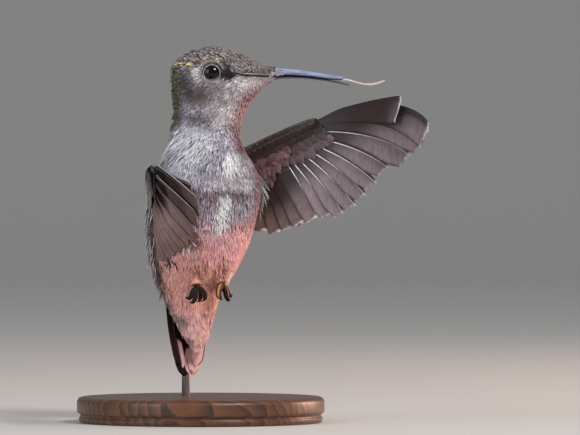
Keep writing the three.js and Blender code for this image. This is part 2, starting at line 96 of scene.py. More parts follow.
def blob(points, centre, radii):
    """1 at a centre in x and z, falling off as exp(-r^2) with the two radii; both sides of the head alike."""
    across = (points[..., 0] - centre[0]) / radii[0]
    up = (points[..., 2] - centre[1]) / radii[1]
    return np.exp(-(across**2 + up**2))


def wrapped(turn):
    """An angle brought between -pi and pi."""
    return np.angle(np.exp(1j * turn))


def circle(sides):
    """Angles all round from 0, one for each side."""
    return np.linspace(0, TAU, sides, endpoint=False)


def grid_of(first, second):
    """Two rows of numbers as the two coordinates of a grid."""
    return np.meshgrid(first, second, indexing="ij")


def each(values, axes=2):
    """One value a feather, or one for all, shaped to spread over that many further axes."""
    return np.reshape(values, (-1,) + (1,) * axes)


def linear(code):
    """An sRGB hex code as linear red, green and blue."""
    s = np.array([int(code[i : i + 2], 16) for i in (0, 2, 4)]) / 255
    return tuple(np.where(s <= 0.04045, s / 12.92, ((s + 0.055) / 1.055) ** 2.4))


def curve_through(rows, t):
    """A Catmull-Rom curve through equally spaced rows of numbers, read at t from 0 to 1: between two rows
    it is the cubic whose slopes there are half the step between their neighbours."""
    rows = np.asarray(rows, float)
    rows = np.vstack([2 * rows[0] - rows[1], rows, 2 * rows[-1] - rows[-2]])
    place = np.clip(t, 0, 1) * (len(rows) - 3)
    first = np.minimum(place.astype(int), len(rows) - 4)
    w = (place - first)[..., None]
    a, b, c, d = (rows[first + k] for k in range(4))
    start, end = (c - a) / 2, (d - b) / 2
    return ((2 * b - 2 * c + start + end) * w + (3 * c - 3 * b - 2 * start - end)) * w * w + start * w + b


# ---------- the body's shape ----------
# Stations from the bill's base to the tip of the under-tail coverts: centre x, y, z, depth from back to
# breast, width, tilt of the section about Y, and the way that its ventral side faces about Z.
STATIONS = [
    [13.85, -5, 67.4, 3.2, 3.0, -57, 0],  # bill base
    [12, -5, 67.5, 4.9, 4.6, -67, 0],  # lores
    [10.2, -5, 67.55, 7.5, 6.8, -67, 0],  # forehead
    [8.25, -5, 67.4, 10.3, 9.0, -64.5, 0],  # brow
    [6.05, -5, 67.2, 13.4, 10.7, -59, 0],  # crown
    [4.1, -5, 66.15, 15.3, 11.6, -52, 0],  # hind crown
    [2.45, -5, 64.8, 16.7, 12.0, -46, -2],  # occiput
    [1.4, -5, 63.1, 17.2, 12.2, -40, -8],  # nape
    [1.15, -5, 60.0, 15.9, 12.8, -32, -20],  # upper neck
    [1.45, -4.8, 56.75, 14.8, 13.6, -22.5, -34],  # neck
    [1.55, -4.3, 53.4, 15.8, 15.2, -11.5, -47],  # lower neck
    [1.35, -3.7, 49.6, 19.0, 18.6, -3.5, -56],  # shoulders
    [1, -3.1, 44.5, 22.4, 21.6, 0, BODY_FACING],  # breast
    [0.2, -1.9, 38.7, 21.4, 20.8, 0, BODY_FACING],  # belly
    [-0.6, -0.5, 33.3, 19.4, 18.8, 0, BODY_FACING],  # lower belly
    [-1.3, 0.6, 28.5, 15.4, 15.6, 0, BODY_FACING],  # flanks
    [-1.85, 1.4, 24.5, 11.4, 11.8, 0, BODY_FACING],  # vent
    [-1.45, 0.8, 20.4, 7.6, 8.6, 0, BODY_FACING],  # tail coverts
    [-0.8, -0.2, 16.2, 4.2, 5.2, 0, BODY_FACING],  # covert tips
    [-0.55, -0.6, 13.9, 1.6, 2.2, 0, BODY_FACING],  # last covert
]
LAST_STATION = len(STATIONS) - 1
BODY_SPAN = 62.0  # length of the line through the stations


def body_point(t, turn, lift=0.0):
    """The plumage's outer surface. At t from the bill's base (0) to the last covert (1) the section is an
    ellipse: centre + ventral (depth / 2 + lift) cos(turn) + left (width / 2 + lift) sin(turn). Turn 0 is the
    middle of the breast and pi that of the back. Past either end the last section slides straight on."""
    t, turn, lift = np.broadcast_arrays(np.asarray(t, float), turn, lift)
    inside = np.clip(t, 0, 1)
    row = curve_through(STATIONS, inside)
    tilt, facing = np.radians(row[..., 5]), np.radians(row[..., 6])
    nought = np.zeros_like(tilt)
    forward = np.stack([np.cos(tilt), nought, np.sin(tilt)], -1)
    away = np.array([0.0, 1.0, 0.0])
    towards_bill = np.stack([-np.sin(tilt), nought, np.cos(tilt)], -1)
    cos_facing, sin_facing = np.cos(facing)[..., None], np.sin(facing)[..., None]
    ventral = forward * cos_facing + away * sin_facing
    left = away * cos_facing - forward * sin_facing
    deep = ((row[..., 3] / 2 + lift) * np.cos(turn))[..., None]
    wide = ((row[..., 4] / 2 + lift) * np.sin(turn))[..., None]
    beyond = ((t - inside) * BODY_SPAN)[..., None]
    return row[..., :3] + ventral * deep + left * wide - towards_bill * beyond


def body_facing(t):
    """Which turn, in degrees, the right-hand outline of the body stands at: where its side faces +X."""
    return -curve_through(STATIONS, np.asarray(t, float))[..., 6]


def body_scale(t, turn):
    """Millimetres along the body for a unit of t, and around it for a radian of turn, from small steps."""
    step = 1e-3
    down = body_point(t + step, turn) - body_point(t - step, turn)
    across = body_point(t, turn + step) - body_point(t, turn - step)
    down, across = (np.linalg.norm(way, axis=-1) / (2 * step) for way in (down, across))
    return np.maximum(down, 18.0), np.maximum(across, 0.5)


def coat_depth(t):
    """How far the skin lies inside the plumage's outer surface: thin on the face, deep on the breast."""
    station = t * LAST_STATION
    return lerp(0.3, 0.55, smooth(station, 0, 5)) + 0.45 * window(station, 9, 16, 3.0)


def on_head(x, z, side):
    """t and turn of the points of the head's side that stand at x and z: the nearest of a fine grid."""
    t, turn = grid_of(np.linspace(0, 0.52, 260), side * np.linspace(0.02, math.pi, 240))
    across, aside, up = body_point(t, turn).reshape(-1, 3).T[..., None]
    away = (across - x) ** 2 + (up - z) ** 2
    away += 1e3 * (side * (aside - HEAD_PLANE) < 0)  # the head's other side is out of reach
    nearest = away.argmin(axis=0)
    return t.ravel()[nearest], turn.ravel()[nearest]


# ---------- wings, tail and legs ----------
# Each wing is a sheet that hangs from a curved line through the air: span runs along the line, chord
# down from it, and rise towards the bird's back. The heading turns from root to tip, and the sheet is
# twisted: its outer part leans by that much of the chord.
WINGS = {
    "left": {"side": 1, "origin": (6.8, 2.0, 52.2), "heading": (-10, -64), "climb": 13.5, "twist": 0},
    "right": {"side": -1, "origin": (-7.6, -6.4, 47.4), "heading": (-100, -65), "climb": -2, "twist": 0.4},
}
WING_LENGTH = 49
WING_CAMBER = 1.3
FULL_CHORD = 17
# Rows of the arm: span, chord of its middle, half chord and half thickness, from shoulder to finger.
ARM = [
    [0.0, 3.2, 3.4, 2.2],
    [2.5, 2.5, 3.2, 1.9],
    [6.0, 1.3, 2.8, 1.5],
    [10.0, 0.0, 2.2, 1.15],
    [14.0, -1.0, 1.6, 0.8],
    [17.5, -1.9, 0.7, 0.4],
]


def wing_point(wing, span, chord, rise):
    """A point of the wing's sheet. The line through the air is an arc of WING_LENGTH whose heading turns
    between two angles, straight before it starts; the sheet sags from it as the square of the chord."""
    first, last = np.radians(wing["heading"])
    radius = WING_LENGTH / (last - first)
    bent, straight = np.maximum(span, 0), np.minimum(span, 0)
    heading = first + bent / radius
    out = rise - WING_CAMBER * (chord / FULL_CHORD) ** 2 - wing["twist"] * chord * smooth(span, 14, 36)
    x = wing["origin"][0] + radius * (np.sin(heading) - np.sin(first)) + straight * np.cos(first)
    y = wing["origin"][1] - radius * (np.cos(heading) - np.cos(first)) + straight * np.sin(first)
    z = wing["origin"][2] + span * math.tan(math.radians(wing["climb"])) - chord
    out = wing["side"] * out
    return np.stack(np.broadcast_arrays(x - out * np.sin(heading), y + out * np.cos(heading), z), -1)


def arm_height(span, chord):
    """Half the arm's thickness at a span and chord: an ellipse across the chord, nothing outside it."""
    rows = np.array(ARM)
    middle, half, thick = (np.interp(span, rows[:, 0], rows[:, k]) for k in (1, 2, 3))
    return thick * np.sqrt(np.clip(1 - ((chord - middle) / half) ** 2, 0, 1))


def unit(vector):
    return np.asarray(vector, float) / np.linalg.norm(vector)


# The tail's frame: lateral towards the bird's left, down along the tail, and rise towards its back.
TAIL_ROOT = np.array([-3.3, 3.8, 27])
TAIL_ALONG = unit(np.array([-1.95, 1.65, 9]) - TAIL_ROOT)
TAIL_LEFT = np.array([-math.sin(math.radians(BODY_FACING)), math.cos(math.radians(BODY_FACING)), 0])
TAIL_BACK = unit(np.cross(TAIL_LEFT, TAIL_ALONG))


def tail_point(lateral, down, rise):
    """The tail's root plus three straight steps along its own directions."""
    steps = np.broadcast_arrays(lateral, down, rise)
    ways = (TAIL_LEFT, TAIL_ALONG, TAIL_BACK)
    return TAIL_ROOT + sum(step[..., None] * way for step, way in zip(steps, ways))


LEGS = {"right": {"turn": -26, "height": 27.2}, "left": {"turn": 12, "height": 27.6}}


def leg_point(leg, away, sideways, up):
    """A point of a leg's own frame: away from the body's middle line, sideways, and up from its height."""
    facing = math.radians(BODY_FACING + leg["turn"])
    out = np.array([math.cos(facing), math.sin(facing), 0])
    across = np.array([-math.sin(facing), math.cos(facing), 0])
    start = np.array([-1.55, 0.95, leg["height"]])
    away, sideways, up = (np.asarray(v, float)[..., None] for v in (away, sideways, up))
    return start + out * away + across * sideways + np.array([0, 0, 1.0]) * up


def tube(rows, sides, rings, swell=None, start=0.0, end=1.0):
    """A grid of rings around the curve through rows of x, y, z and radius. Each ring stands across the
    curve, and swell(t, turn), if given, multiplies the radius."""
    t = np.linspace(start, end, rings)
    row = curve_through(rows, t)
    along = np.gradient(row[:, :3], axis=0)
    along /= np.linalg.norm(along, axis=1, keepdims=True)
    helper = np.eye(3)[np.abs(along).mean(axis=0).argmin()]
    first = np.cross(along, helper)
    first /= np.linalg.norm(first, axis=1, keepdims=True)
    second = np.cross(along, first)
    turn = circle(sides)
    radius = row[:, 3:4] * (swell(t[:, None], turn[None, :]) if swell else 1.0)
    ring = first[:, None] * np.cos(turn)[None, :, None] + second[:, None] * np.sin(turn)[None, :, None]
    return row[:, None, :3] + ring * np.broadcast_to(radius, (rings, sides))[..., None]


# ---------- meshes ----------
def grid_faces(rows, columns, rows_meet=False, columns_meet=True):
    """The four-cornered faces of a grid whose last row or column may meet the first one again, and each
    corner's share of the way through the columns and the rows."""
    last_row, last_column = rows - (not rows_meet), columns - (not columns_meet)
    r, c = grid_of(np.arange(last_row), np.arange(last_column))
    r, c = np.stack([r, r + 1, r + 1, r], -1), np.stack([c, c, c + 1, c + 1], -1)
    shares = np.stack([c / last_column, r / last_row], -1)
    return (r % rows * columns + c % columns).reshape(-1, 4), shares.reshape(-1, 4, 2)


class Stock:
    """Gathers closed shapes and writes them as one mesh. Every vertex has the colour of its plumage and of
    a feather's edge, every face corner a place on its feather and on the baked map."""

    def __init__(self):
        self.count = 0
        self.parts = {key: [] for key in ("points", "corners", "sizes", "colour", "edge", "vane", "bake")}

    def add(self, points, faces, colour, edge, vane, bake):
        """Vertices (n, 3), faces (m, 4), colours (n, 3) and corner maps (m, 4, 2). A face whose last corner
        repeats the one before is a triangle. A shape whose signed volume is negative is turned inside out."""
        a, b, c, d = (points[faces[:, k]] - points[0] for k in range(4))
        volume = np.einsum("ij,ij->", a, np.cross(b, c)) + np.einsum("ij,ij->", a, np.cross(c, d))
        way = 1 if volume > 0 else -1
        whole = faces[:, 2] != faces[:, 3]
        for chosen, corners in ((whole, 4), (~whole, 3)):
            self.parts["corners"].append((faces[chosen, :corners][:, ::way] + self.count).ravel())
            self.parts["sizes"].append(np.full(chosen.sum(), corners))
            for key, place in (("vane", vane), ("bake", bake)):
                self.parts[key].append(place[chosen, :corners][:, ::way].reshape(-1, 2))
        for key, value in (("points", points), ("colour", colour), ("edge", edge)):
            self.parts[key].append(np.broadcast_to(value, points.shape))
        self.count += len(points)

    def shell(self, grid, colour=(0.5, 0.5, 0.5), edge=None, box=(0, 0, 1, 1)):
        """A grid of rings (rings, sides, 3) as a closed shape: the last side meets the first, and a fan
        closes each end. The maps unwrap it into a box (left, bottom, width, height)."""
        rings, sides, _ = grid.shape
        faces, maps = grid_faces(rings, sides)
        side = np.arange(sides)
        for end, first, second in ((0, side + 1, side), (1, side, side + 1)):
            rim, middle = end * (rings - 1) * sides, np.full(sides, rings * sides + end)
            fan = [rim + first % sides, rim + second % sides, middle, middle]
            faces = np.vstack([faces, np.stack(fan, -1)])
            u = np.stack([first, second, side + 0.5, side + 0.5], -1) / sides
            maps = np.vstack([maps, np.stack([u, np.full_like(u, end)], -1)])

        def spread(tint):
            """A colour for each vertex; an end's middle takes that of its ring."""
            tint = np.broadcast_to(tint, grid.shape)
            return np.vstack([tint.reshape(-1, 3), tint[[0, -1], 0]])

        points = np.vstack([grid.reshape(-1, 3), grid[0].mean(axis=0), grid[-1].mean(axis=0)])
        place = np.array(box[:2]) + maps * np.array(box[2:])
        self.add(points, faces, spread(colour), spread(colour if edge is None else edge), maps, place)

    def vanes(self, grids, colour, edge, bake):
        """Feathers (2 faces, feathers, rows, columns, 3) whose two faces share their outline. Colours are a
        feather's own (feathers, 3) or a whole grid's; bake holds each vertex's place on the baked map."""
        *outer, rows, columns, _ = grids.shape
        start = np.arange(outer[0] * outer[1]).reshape(*outer, 1, 1) * rows * columns
        quads = start + grid_faces(rows, columns, columns_meet=False)[0]
        quads[1] = quads[1, ..., ::-1].copy()
        quads = quads.reshape(-1, 4)

        def spread(tint):
            """A colour for each vertex."""
            tint = tint if np.ndim(tint) > 2 else np.reshape(tint, (1, -1, 1, 1, 3))
            return np.broadcast_to(tint, grids.shape).reshape(-1, 3)

        v, u = grid_of(np.linspace(0, 1, rows), np.linspace(0, 1, columns))
        vane, bake = (np.broadcast_to(place, (*outer, rows, columns, 2)).reshape(-1, 2)[quads]
                      for place in (np.stack([u, v], -1), bake))
        self.add(grids.reshape(-1, 3), quads, spread(colour), spread(edge), vane, bake)

    def write(self, name, slot, finish, *nodes):
        """Writes the mesh, in metres, as a piece with its finish that rides on the bird's one body and stands
        for the named solids. The slot is not used."""
        parts = {key: np.concatenate(value) for key, value in self.parts.items()}
        mesh = bpy.data.meshes.new(name)
        mesh.vertices.add(self.count)
        mesh.vertices.foreach_set("co", (parts["points"] * MM).astype(np.float32).ravel())
        mesh.loops.add(len(parts["corners"]))
        mesh.loops.foreach_set("vertex_index", parts["corners"].astype(np.int32))
        mesh.polygons.add(len(parts["sizes"]))
        starts = np.concatenate([[0], np.cumsum(parts["sizes"])[:-1]]).astype(np.int32)
        mesh.polygons.foreach_set("loop_start", starts)
        mesh.polygons.foreach_set("use_smooth", np.ones(len(starts), bool))
        mesh.update(calc_edges=True)
        for layer, key in (("OFBake", "bake"), ("vane", "vane")):
            mesh.uv_layers.new(name=layer).data.foreach_set("uv", parts[key].astype(np.float32).ravel())
        for key in ("colour", "edge"):
            tint = np.hstack([parts[key], np.ones((self.count, 1))]).astype(np.float32)
            mesh.color_attributes.new(key, "FLOAT_COLOR", "POINT").data.foreach_set("color", tint.ravel())
        mesh.materials.append(FINISHES[finish])
        piece = bpy.data.objects.new(name, mesh)
        bpy.context.scene.collection.objects.link(piece)
        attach(piece, "root")
        if nodes:
            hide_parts(*nodes)


def vane_axes(rows, columns):
    """How far along a vane its rows lie, 0 at the root, and how far out its columns do, 1 on the leading
    edge and -1 on the trailing one."""
    return np.linspace(0, 1, rows)[None, :, None], np.linspace(1, -1, columns)[None, None, :]


def lay_vanes(place, root, tip, lead, trail, *, bow=0.0, lean=0.0, lift=0.0, bend=0.0, power=1.0, narrow=0.35,
              point=0.12, taper=0.78, round_from=0.93, open_at=0.4, slant=0.0, camber=0.0, ragged=0.0,
              thickness=0.1, columns=5, rows=6, rng=None):
    """Many thin vanes at once, as (2 faces, feathers, rows, columns, 3). A vane's shaft runs straight from
    root to tip, bowed sideways by 4 bow v (1 - v). Its two webs widen from the root, narrow to the tip and
    end round; the trailing one stops short by slant millimetres. It rises from lift by bend v^power, leans
    so that the leading edge is up, and sags at its edges by camber u^2. Its two faces stand apart by
    thickness (1 - u^2) and meet all round the outline."""
    root, tip = np.asarray(root, float), np.asarray(tip, float)
    along = tip - root
    long = np.linalg.norm(along, axis=1)
    side = np.stack([along[:, 1], -along[:, 0]], 1) / long[:, None]
    level, u = vane_axes(rows, columns)
    v = level
    leading = lerp(narrow, 1, smooth(v, 0, 0.3)) * lerp(1, each(point), smooth(v, (1 + taper) / 2, 1))
    trailing = lerp(narrow, 1, smooth(v, 0, open_at)) * lerp(1, each(point), smooth(v, taper, 1))
    end = np.sqrt(np.clip(1 - (np.clip(v - round_from, 0, 1) / (1 - round_from)) ** 2, 0.02, 1))
    width = np.where(u > 0, each(lead) * leading, each(trail) * trailing) * end
    v = v * (1 - each(slant / long) * np.clip(-u, 0, 1))
    if ragged:
        jag = rng.normal(size=(len(root), rows, columns))
        width = width * (1 + ragged * jag * np.abs(u))
        v = v * (1 + ragged * 0.6 * rng.normal(size=(len(root), 1, columns)) * v**3)
    out = 4 * each(bow) * v * (1 - v) + u * width
    rise = each(lift) + each(bend) * v**power + each(lean) * u * width - each(camber) * u**2
    a, b = (each(root[:, k]) + each(along[:, k]) * v + each(side[:, k]) * out for k in (0, 1))
    half = 0.5 * each(thickness) * (1 - u**2) * np.sqrt(np.clip(4 * level * (1 - level), 0, 1))
    return np.stack([place(a, b, rise + half), place(a, b, rise - half)])


BAKE_PATCH = 0.003  # side of one small feather's patch on the baked map


def patches(at_u, at_v, rows, columns, patch=BAKE_PATCH):
    """Each feather's patch of the baked map, with its middle at (at_u, at_v)."""
    v, u = grid_of(np.linspace(-0.5, 0.5, rows), np.linspace(-0.5, 0.5, columns))
    return np.stack([each(at_u) + u * patch, each(at_v) + v * patch], -1)


def strips(count, rows, columns):
    """An atlas of strips for long feathers (2 faces, feathers, rows, columns, 2): a strip to a feather, its
    upper face in the lower half and its lower face in the upper half."""
    f, i, v, u = np.meshgrid(np.arange(2), np.arange(count), np.linspace(0.01, 0.48, rows),
                             np.linspace(0.06, 0.94, columns), indexing="ij")
    return np.stack([(i + u) / count, v + 0.5 * f], -1)


# ---------- finishes ----------
def add_node(tree, kind, sockets=(), output=0, **settings):
    """Adds a shader node with its settings and returns one of its outputs. Its sockets come as a list from
    the first one on, or by number or name: another node's output is linked, anything else is the value."""
    made = tree.nodes.new("ShaderNode" + kind)
    for key, value in settings.items():
        setattr(made, key, value)
    for key, value in sockets.items() if isinstance(sockets, dict) else enumerate(sockets):
        if isinstance(value, bpy.types.NodeSocket):
            tree.links.new(value, made.inputs[key])
        else:
            made.inputs[key].default_value = value
    return made.outputs[output] if len(made.outputs) else None


def new_finish(name):
    """An empty node material, and a function that adds a node to it."""
    material = bpy.data.materials.new(name)
    material.use_nodes = True
    material.node_tree.nodes.clear()
    return material, partial(add_node, material.node_tree)


def finish_with(node, sockets):
    """The principled shader with its sockets set, joined to the output."""
    node("OutputMaterial", {"Surface": node("BsdfPrincipled", sockets)})


def feather_finish(name, rim=0.0, barbs=0.3, barb_rows=14, root_shade=0.35, roughness=0.62, sheen=0.25,
                   mottle=0.12, gloss=0.35, slant=0.3):
    """Feather keratin. The plumage's colour comes from the mesh. On each feather the root is shaded, barbs
    run slanting out from the shaft as light and dark lines, and the rim takes the edge's colour. A fine
    mottle in real millimetres varies it all."""
    material, node = new_finish(name)
    place = node("UVMap", uv_map="vane")
    u, v = (node("SeparateXYZ", [place], output=k) for k in (0, 1))
    centred = node("Math", [u, 2.0, -1.0], operation="MULTIPLY_ADD")
    across = node("Math", [centred], operation="ABSOLUTE")
    colour, edge = (node("Attribute", attribute_name=key) for key in ("colour", "edge"))
    # barbs slant forward from the shaft: their line number grows along the vane and shrinks outwards
    slanted = node("Math", [across, barb_rows * slant], operation="MULTIPLY")
    along = node("Math", [v, barb_rows], operation="MULTIPLY")
    line = node("Math", [along, slanted], operation="SUBTRACT")
    where = node("CombineXYZ", [line, node("Math", [u, 1.5], operation="MULTIPLY")])
    # each feather's barbs start at their own place, and so differ
    position = node("TexCoord", output="Object")
    seed = node("VectorMath", {0: position, "Scale": 400.0}, operation="SCALE")
    shifted = node("VectorMath", [where, seed], operation="ADD")
    barb = node("TexNoise", {"Vector": shifted, "Scale": 1.0, "Detail": 1.0})
    barb_tone = node("MapRange", [barb, 0.35, 0.65, 1.0 - barbs, 1.0 + barbs])
    base = node("MapRange", [v, 0.0, 0.55, root_shade, 1.0], interpolation_type="SMOOTHSTEP")
    # mottles of about 1.5 mm, with finer ones on them
    mottled = node("TexNoise", {"Vector": position, "Scale": 650.0, "Detail": 3.0})
    mottled = node("MapRange", [mottled, 0.3, 0.7, 1.0 - mottle, 1.0 + mottle])
    # the rim follows the vane's outline, which widens from the root
    widening = node("Math", [v, 0.3, 0.7], operation="MULTIPLY_ADD")
    sideways = node("Math", [across, widening], operation="MULTIPLY")
    outline = node("Math", [sideways, v], operation="MAXIMUM")
    rimmed = node("MapRange", [outline, 0.62, 0.92, 0.0, rim], interpolation_type="SMOOTHSTEP")
    tint = node("Mix", {0: rimmed, 6: colour, 7: edge}, output=2, data_type="RGBA")
    shade = node("Math", [barb_tone, base], operation="MULTIPLY")
    shade = node("Math", [shade, mottled], operation="MULTIPLY")
    lit = node("VectorMath", {0: tint, "Scale": shade}, operation="SCALE")
    bump = node("Bump", {"Strength": 0.35, "Distance": 0.00006, "Height": barb})
    finish_with(node, {"Base Color": lit, "Roughness": roughness, "Specular IOR Level": gloss,
                       "Sheen Weight": sheen, "Sheen Roughness": 0.4, "Normal": bump})
    return material


def horn_finish(name, roughness=0.35, streak=0.25, ribs=0.3, stretch=(250.0, 2600.0, 2600.0), coat=0.0,
                gloss=0.5):
    """Horn or scaly skin, smoothed by wear: the mesh's colour in streaks drawn out along one way, with fine
    growth ribs across it, and the streaks in its gloss too."""
    material, node = new_finish(name)
    position = node("TexCoord", output="Object")
    stretched = node("Mapping", {0: position, 3: stretch})
    streaks = node("TexNoise", {"Vector": stretched, "Scale": 1.0, "Detail": 4.0})
    colour = node("Attribute", attribute_name="colour")
    tone = node("MapRange", [streaks, 0.35, 0.65, 1.0 - streak, 1.0 + streak])
    base = node("VectorMath", {0: colour, "Scale": tone}, operation="SCALE")
    rib = node("TexWave", {"Vector": position, "Scale": 900.0, "Distortion": 2.0, "Detail": 2.0}, output=1,
               bands_direction="X")
    height = node("Math", [rib, ribs, streaks], operation="MULTIPLY_ADD")
    bump = node("Bump", {"Strength": 0.3, "Distance": 0.00005, "Height": height})
    rough = node("MapRange", [streaks, 0.3, 0.7, roughness * 0.75, roughness * 1.3])
    finish_with(node, {"Base Color": base, "Roughness": rough, "IOR": 1.55, "Specular IOR Level": gloss,
                       "Coat Weight": coat, "Normal": bump})
    return material


def eye_finish(name):
    """A wet eyeball: a black pupil in a dark brown iris with fine rays, under a clear, hard gloss."""
    material, node = new_finish(name)
    place = node("UVMap", uv_map="vane")
    around, inward = (node("SeparateXYZ", [place], output=k) for k in (0, 1))
    fine = node("CombineXYZ", [node("Math", [around, 60.0], operation="MULTIPLY"), inward])
    ray = node("TexNoise", {"Vector": fine, "Scale": 1.0, "Detail": 2.0})
    colour, edge = (node("Attribute", attribute_name=key) for key in ("colour", "edge"))
    iris = node("Mix", {0: ray, 6: colour, 7: edge}, output=2, data_type="RGBA")
    finish_with(node, {"Base Color": iris, "Roughness": 0.04, "IOR": 1.34, "Coat Weight": 0.1,
                       "Coat Roughness": 0.02})
    return material


def walnut_finish(name, dark, light):
    """Oiled walnut, turned and sanded: grain rings about 1.5 mm apart cut lengthwise, short dark pores
    and a satin film of oil."""
    material, node = new_finish(name)
    position = node("TexCoord", output="Object")
    wander = node("TexNoise", {"Vector": position, "Scale": 45.0, "Detail": 3.0})
    aside = node("CombineXYZ", {1: wander, 2: wander})
    aside = node("VectorMath", {0: aside, "Scale": 9.0}, operation="SCALE")
    bent = node("Mapping", {0: position, 3: (60.0, 620.0, 620.0)})
    swirl = node("VectorMath", [bent, aside], operation="ADD")
    grain = node("TexWave", {"Vector": swirl, "Scale": 0.32, "Distortion": 3.0, "Detail": 3.0,
                             "Detail Scale": 1.2}, output=1, bands_direction="Y", wave_profile="SAW")
    stretched = node("Mapping", {0: position, 3: (500.0, 9000.0, 9000.0)})
    pores = node("TexNoise", {"Vector": stretched, "Scale": 1.0, "Detail": 2.0})
    pore = node("MapRange", [pores, 0.56, 0.7, 0.0, 1.0])
    tone = node("Mix", {0: grain, 6: (*light, 1.0), 7: (*dark, 1.0)}, output=2, data_type="RGBA")
    shade = node("MapRange", [pore, 0.0, 1.0, 1.0, 0.45])
    base = node("VectorMath", {0: tone, "Scale": shade}, operation="SCALE")
    bump = node("Bump", {"Strength": 0.25, "Distance": 0.00008, "Height": pore}, invert=True)
    rough = node("MapRange", [grain, 0.0, 1.0, 0.32, 0.46])
    finish_with(node, {"Base Color": base, "Roughness": rough, "Coat Weight": 0.25, "Coat Roughness": 0.25,
                       "Normal": bump})
    return material


def steel_finish(name, tint):
    """Stainless steel rod, brushed along its length: fine scratches drawn out along Z that spread the
    highlight, and a little dullness here and there."""
    material, node = new_finish(name)
    position = node("TexCoord", output="Object")
    stretched = node("Mapping", {0: position, 3: (16000.0, 16000.0, 300.0)})
    scratch = node("TexNoise", {"Vector": stretched, "Scale": 1.0, "Detail": 3.0})
    tone = node("MapRange", [scratch, 0.3, 0.7, 0.82, 1.05])
    base = node("VectorMath", {0: tuple(tint), "Scale": tone}, operation="SCALE")
    rough = node("MapRange", [scratch, 0.3, 0.7, 0.22, 0.4])
    bump = node("Bump", {"Strength": 0.15, "Distance": 0.00003, "Height": scratch})
    finish_with(node, {"Base Color": base, "Metallic": 1.0, "Roughness": rough, "Normal": bump})
    return material


def paper_finish(name, tint):
    """The studio's matt paper, with a faint grain."""
    material, node = new_finish(name)
    position = node("TexCoord", output="Object")
    grain = node("TexNoise", {"Vector": position, "Scale": 700.0, "Detail": 3.0})
    tone = node("MapRange", [grain, 0.3, 0.7, 0.985, 1.015])
    base = node("VectorMath", {0: tuple(tint), "Scale": tone}, operation="SCALE")
    finish_with(node, {"Base Color": base, "Roughness": 0.9, "Specular IOR Level": 0.2})
    return material


# ---------- what a user would change ----------
def hue(name, code, description):
    """A colour property, from the colour's code."""
    return FloatVectorProperty(name=name, description=description, subtype="COLOR", size=3, min=0, max=1,
                               default=linear(code))


def size(name, millimetres, description):
    """A length property, from millimetres."""
    return FloatProperty(name=name, description=description, default=millimetres * MM, min=0, unit="LENGTH",
                         subtype="DISTANCE", precision=5)


class HUMMINGBIRD_PG_plumage(bpy.types.PropertyGroup):
    """Colours of the body's feathers."""

    crown: hue("Crown", "3f3a36", "Centre of the crown's feathers, olive grey-brown")
    crown_edge: hue("Crown edge", "aea6a8", "Pale rim of the crown's feathers")
    brow: hue("Brow", "80736f", "Plain band over the eye, warm grey")
    gold: hue("Gold", "f2dc62", "Flecks of golden green over the eye")
    nape: hue("Nape", "1a1a12", "Nape, dark bronzy green")
    nape_edge: hue("Nape edge", "67644a", "Worn rim of the nape's feathers")
    mantle: hue("Mantle", "464832", "Back, bronzy green")
    mantle_edge: hue("Mantle edge", "b0a68e", "Worn pale rim of the back's feathers")
    ear: hue("Ear coverts", "463a38", "Brown-grey patch behind and under the eye")
    lore: hue("Lores", "120d0e", "Dark patch between the eye and the bill")
    face: hue("Face", "d8d2d4", "Pale patches round the eye and under the bill")
    throat: hue("Throat", "aca2a9", "Throat, greyish white")
    # painted warm light on the outline of the throat and the breast towards +X, and a few pink streaks on the
    # belly
    flush: hue("Warm light and streaks", "8c5c60", "Painted warm light down the throat's middle line, and pink streaks on the belly")
    # painted light: a warm rim light along the outline of the throat and the flank towards +X
    glow: hue("Painted rim light", "e8896c", "Painted warm rim light along the throat and the flank")
    neck: hue("Neck", "b0abb8", "Neck and upper breast, lavender grey")
    # the breast's own white, which also carries painted highlights on the breast's middle line and painted
    # light on the neck's side towards -X
    white: hue("White", "f6f9fb", "Brightest white of the breast's middle line")
    necklace: hue("Necklace", "7b6470", "Soft dusky band across the breast")
    flank: hue("Flank", "ab96a4", "Flanks, rosy")
    # salmon: the underside's own whitish colour under painted warm light reflected from below
    belly: hue("Belly", "f8b8ba", "Belly, salmon")
    vent: hue("Vent", "fabba8", "Round the legs, warmer salmon")
    thigh: hue("Thigh", "cf9a8e", "Loose feathers over the legs")
    under_tail: hue("Under tail", "e2aca2", "Under-tail coverts, pale salmon")
    dusk: hue("Dusk", "5a4a3c", "Dusky brown at the sides of the belly")
    smoke: hue("Smoke", "8d7c72", "Grey centres of the longest coverts")


class HUMMINGBIRD_PG_quills(bpy.types.PropertyGroup):
    """Colours of the wings and the tail."""

    vane: hue("Vane", "8a797c", "Flight feathers, greyish mauve")
    smoky: hue("Folded vane", "8a6f68", "Upper face of the folded flight feathers, brown-grey")
    inner_vane: hue("Inner vane", "5f4f42", "Secondaries, olive brown")
    # the dusky leading web, also darkened as painted shadow of the next feather out
    lead: hue("Leading web", "2c2220", "Narrow leading web, dusky")
    # dark feather roots, also the colour of painted shade and shadow lines on the wings
    root: hue("Root", "24140e", "Flight feathers under the coverts")
    # pale shafts and tips, also painted highlights on the outermost tips and the folded wing's leading edges
    pale: hue("Pale line", "f2eef0", "Shafts, tips and trailing edges")
    lining: hue("Wing lining", "241511", "Under-wing coverts")
    down: hue("Axillar down", "6c4f50", "Soft feathers under the wing's root")
    rectrix: hue("Tail feather", "260c0a", "Tail feathers, dark maroon black")
    tail_tip: hue("Tail tip", "e6b6b4", "Tips of the outer tail feathers")


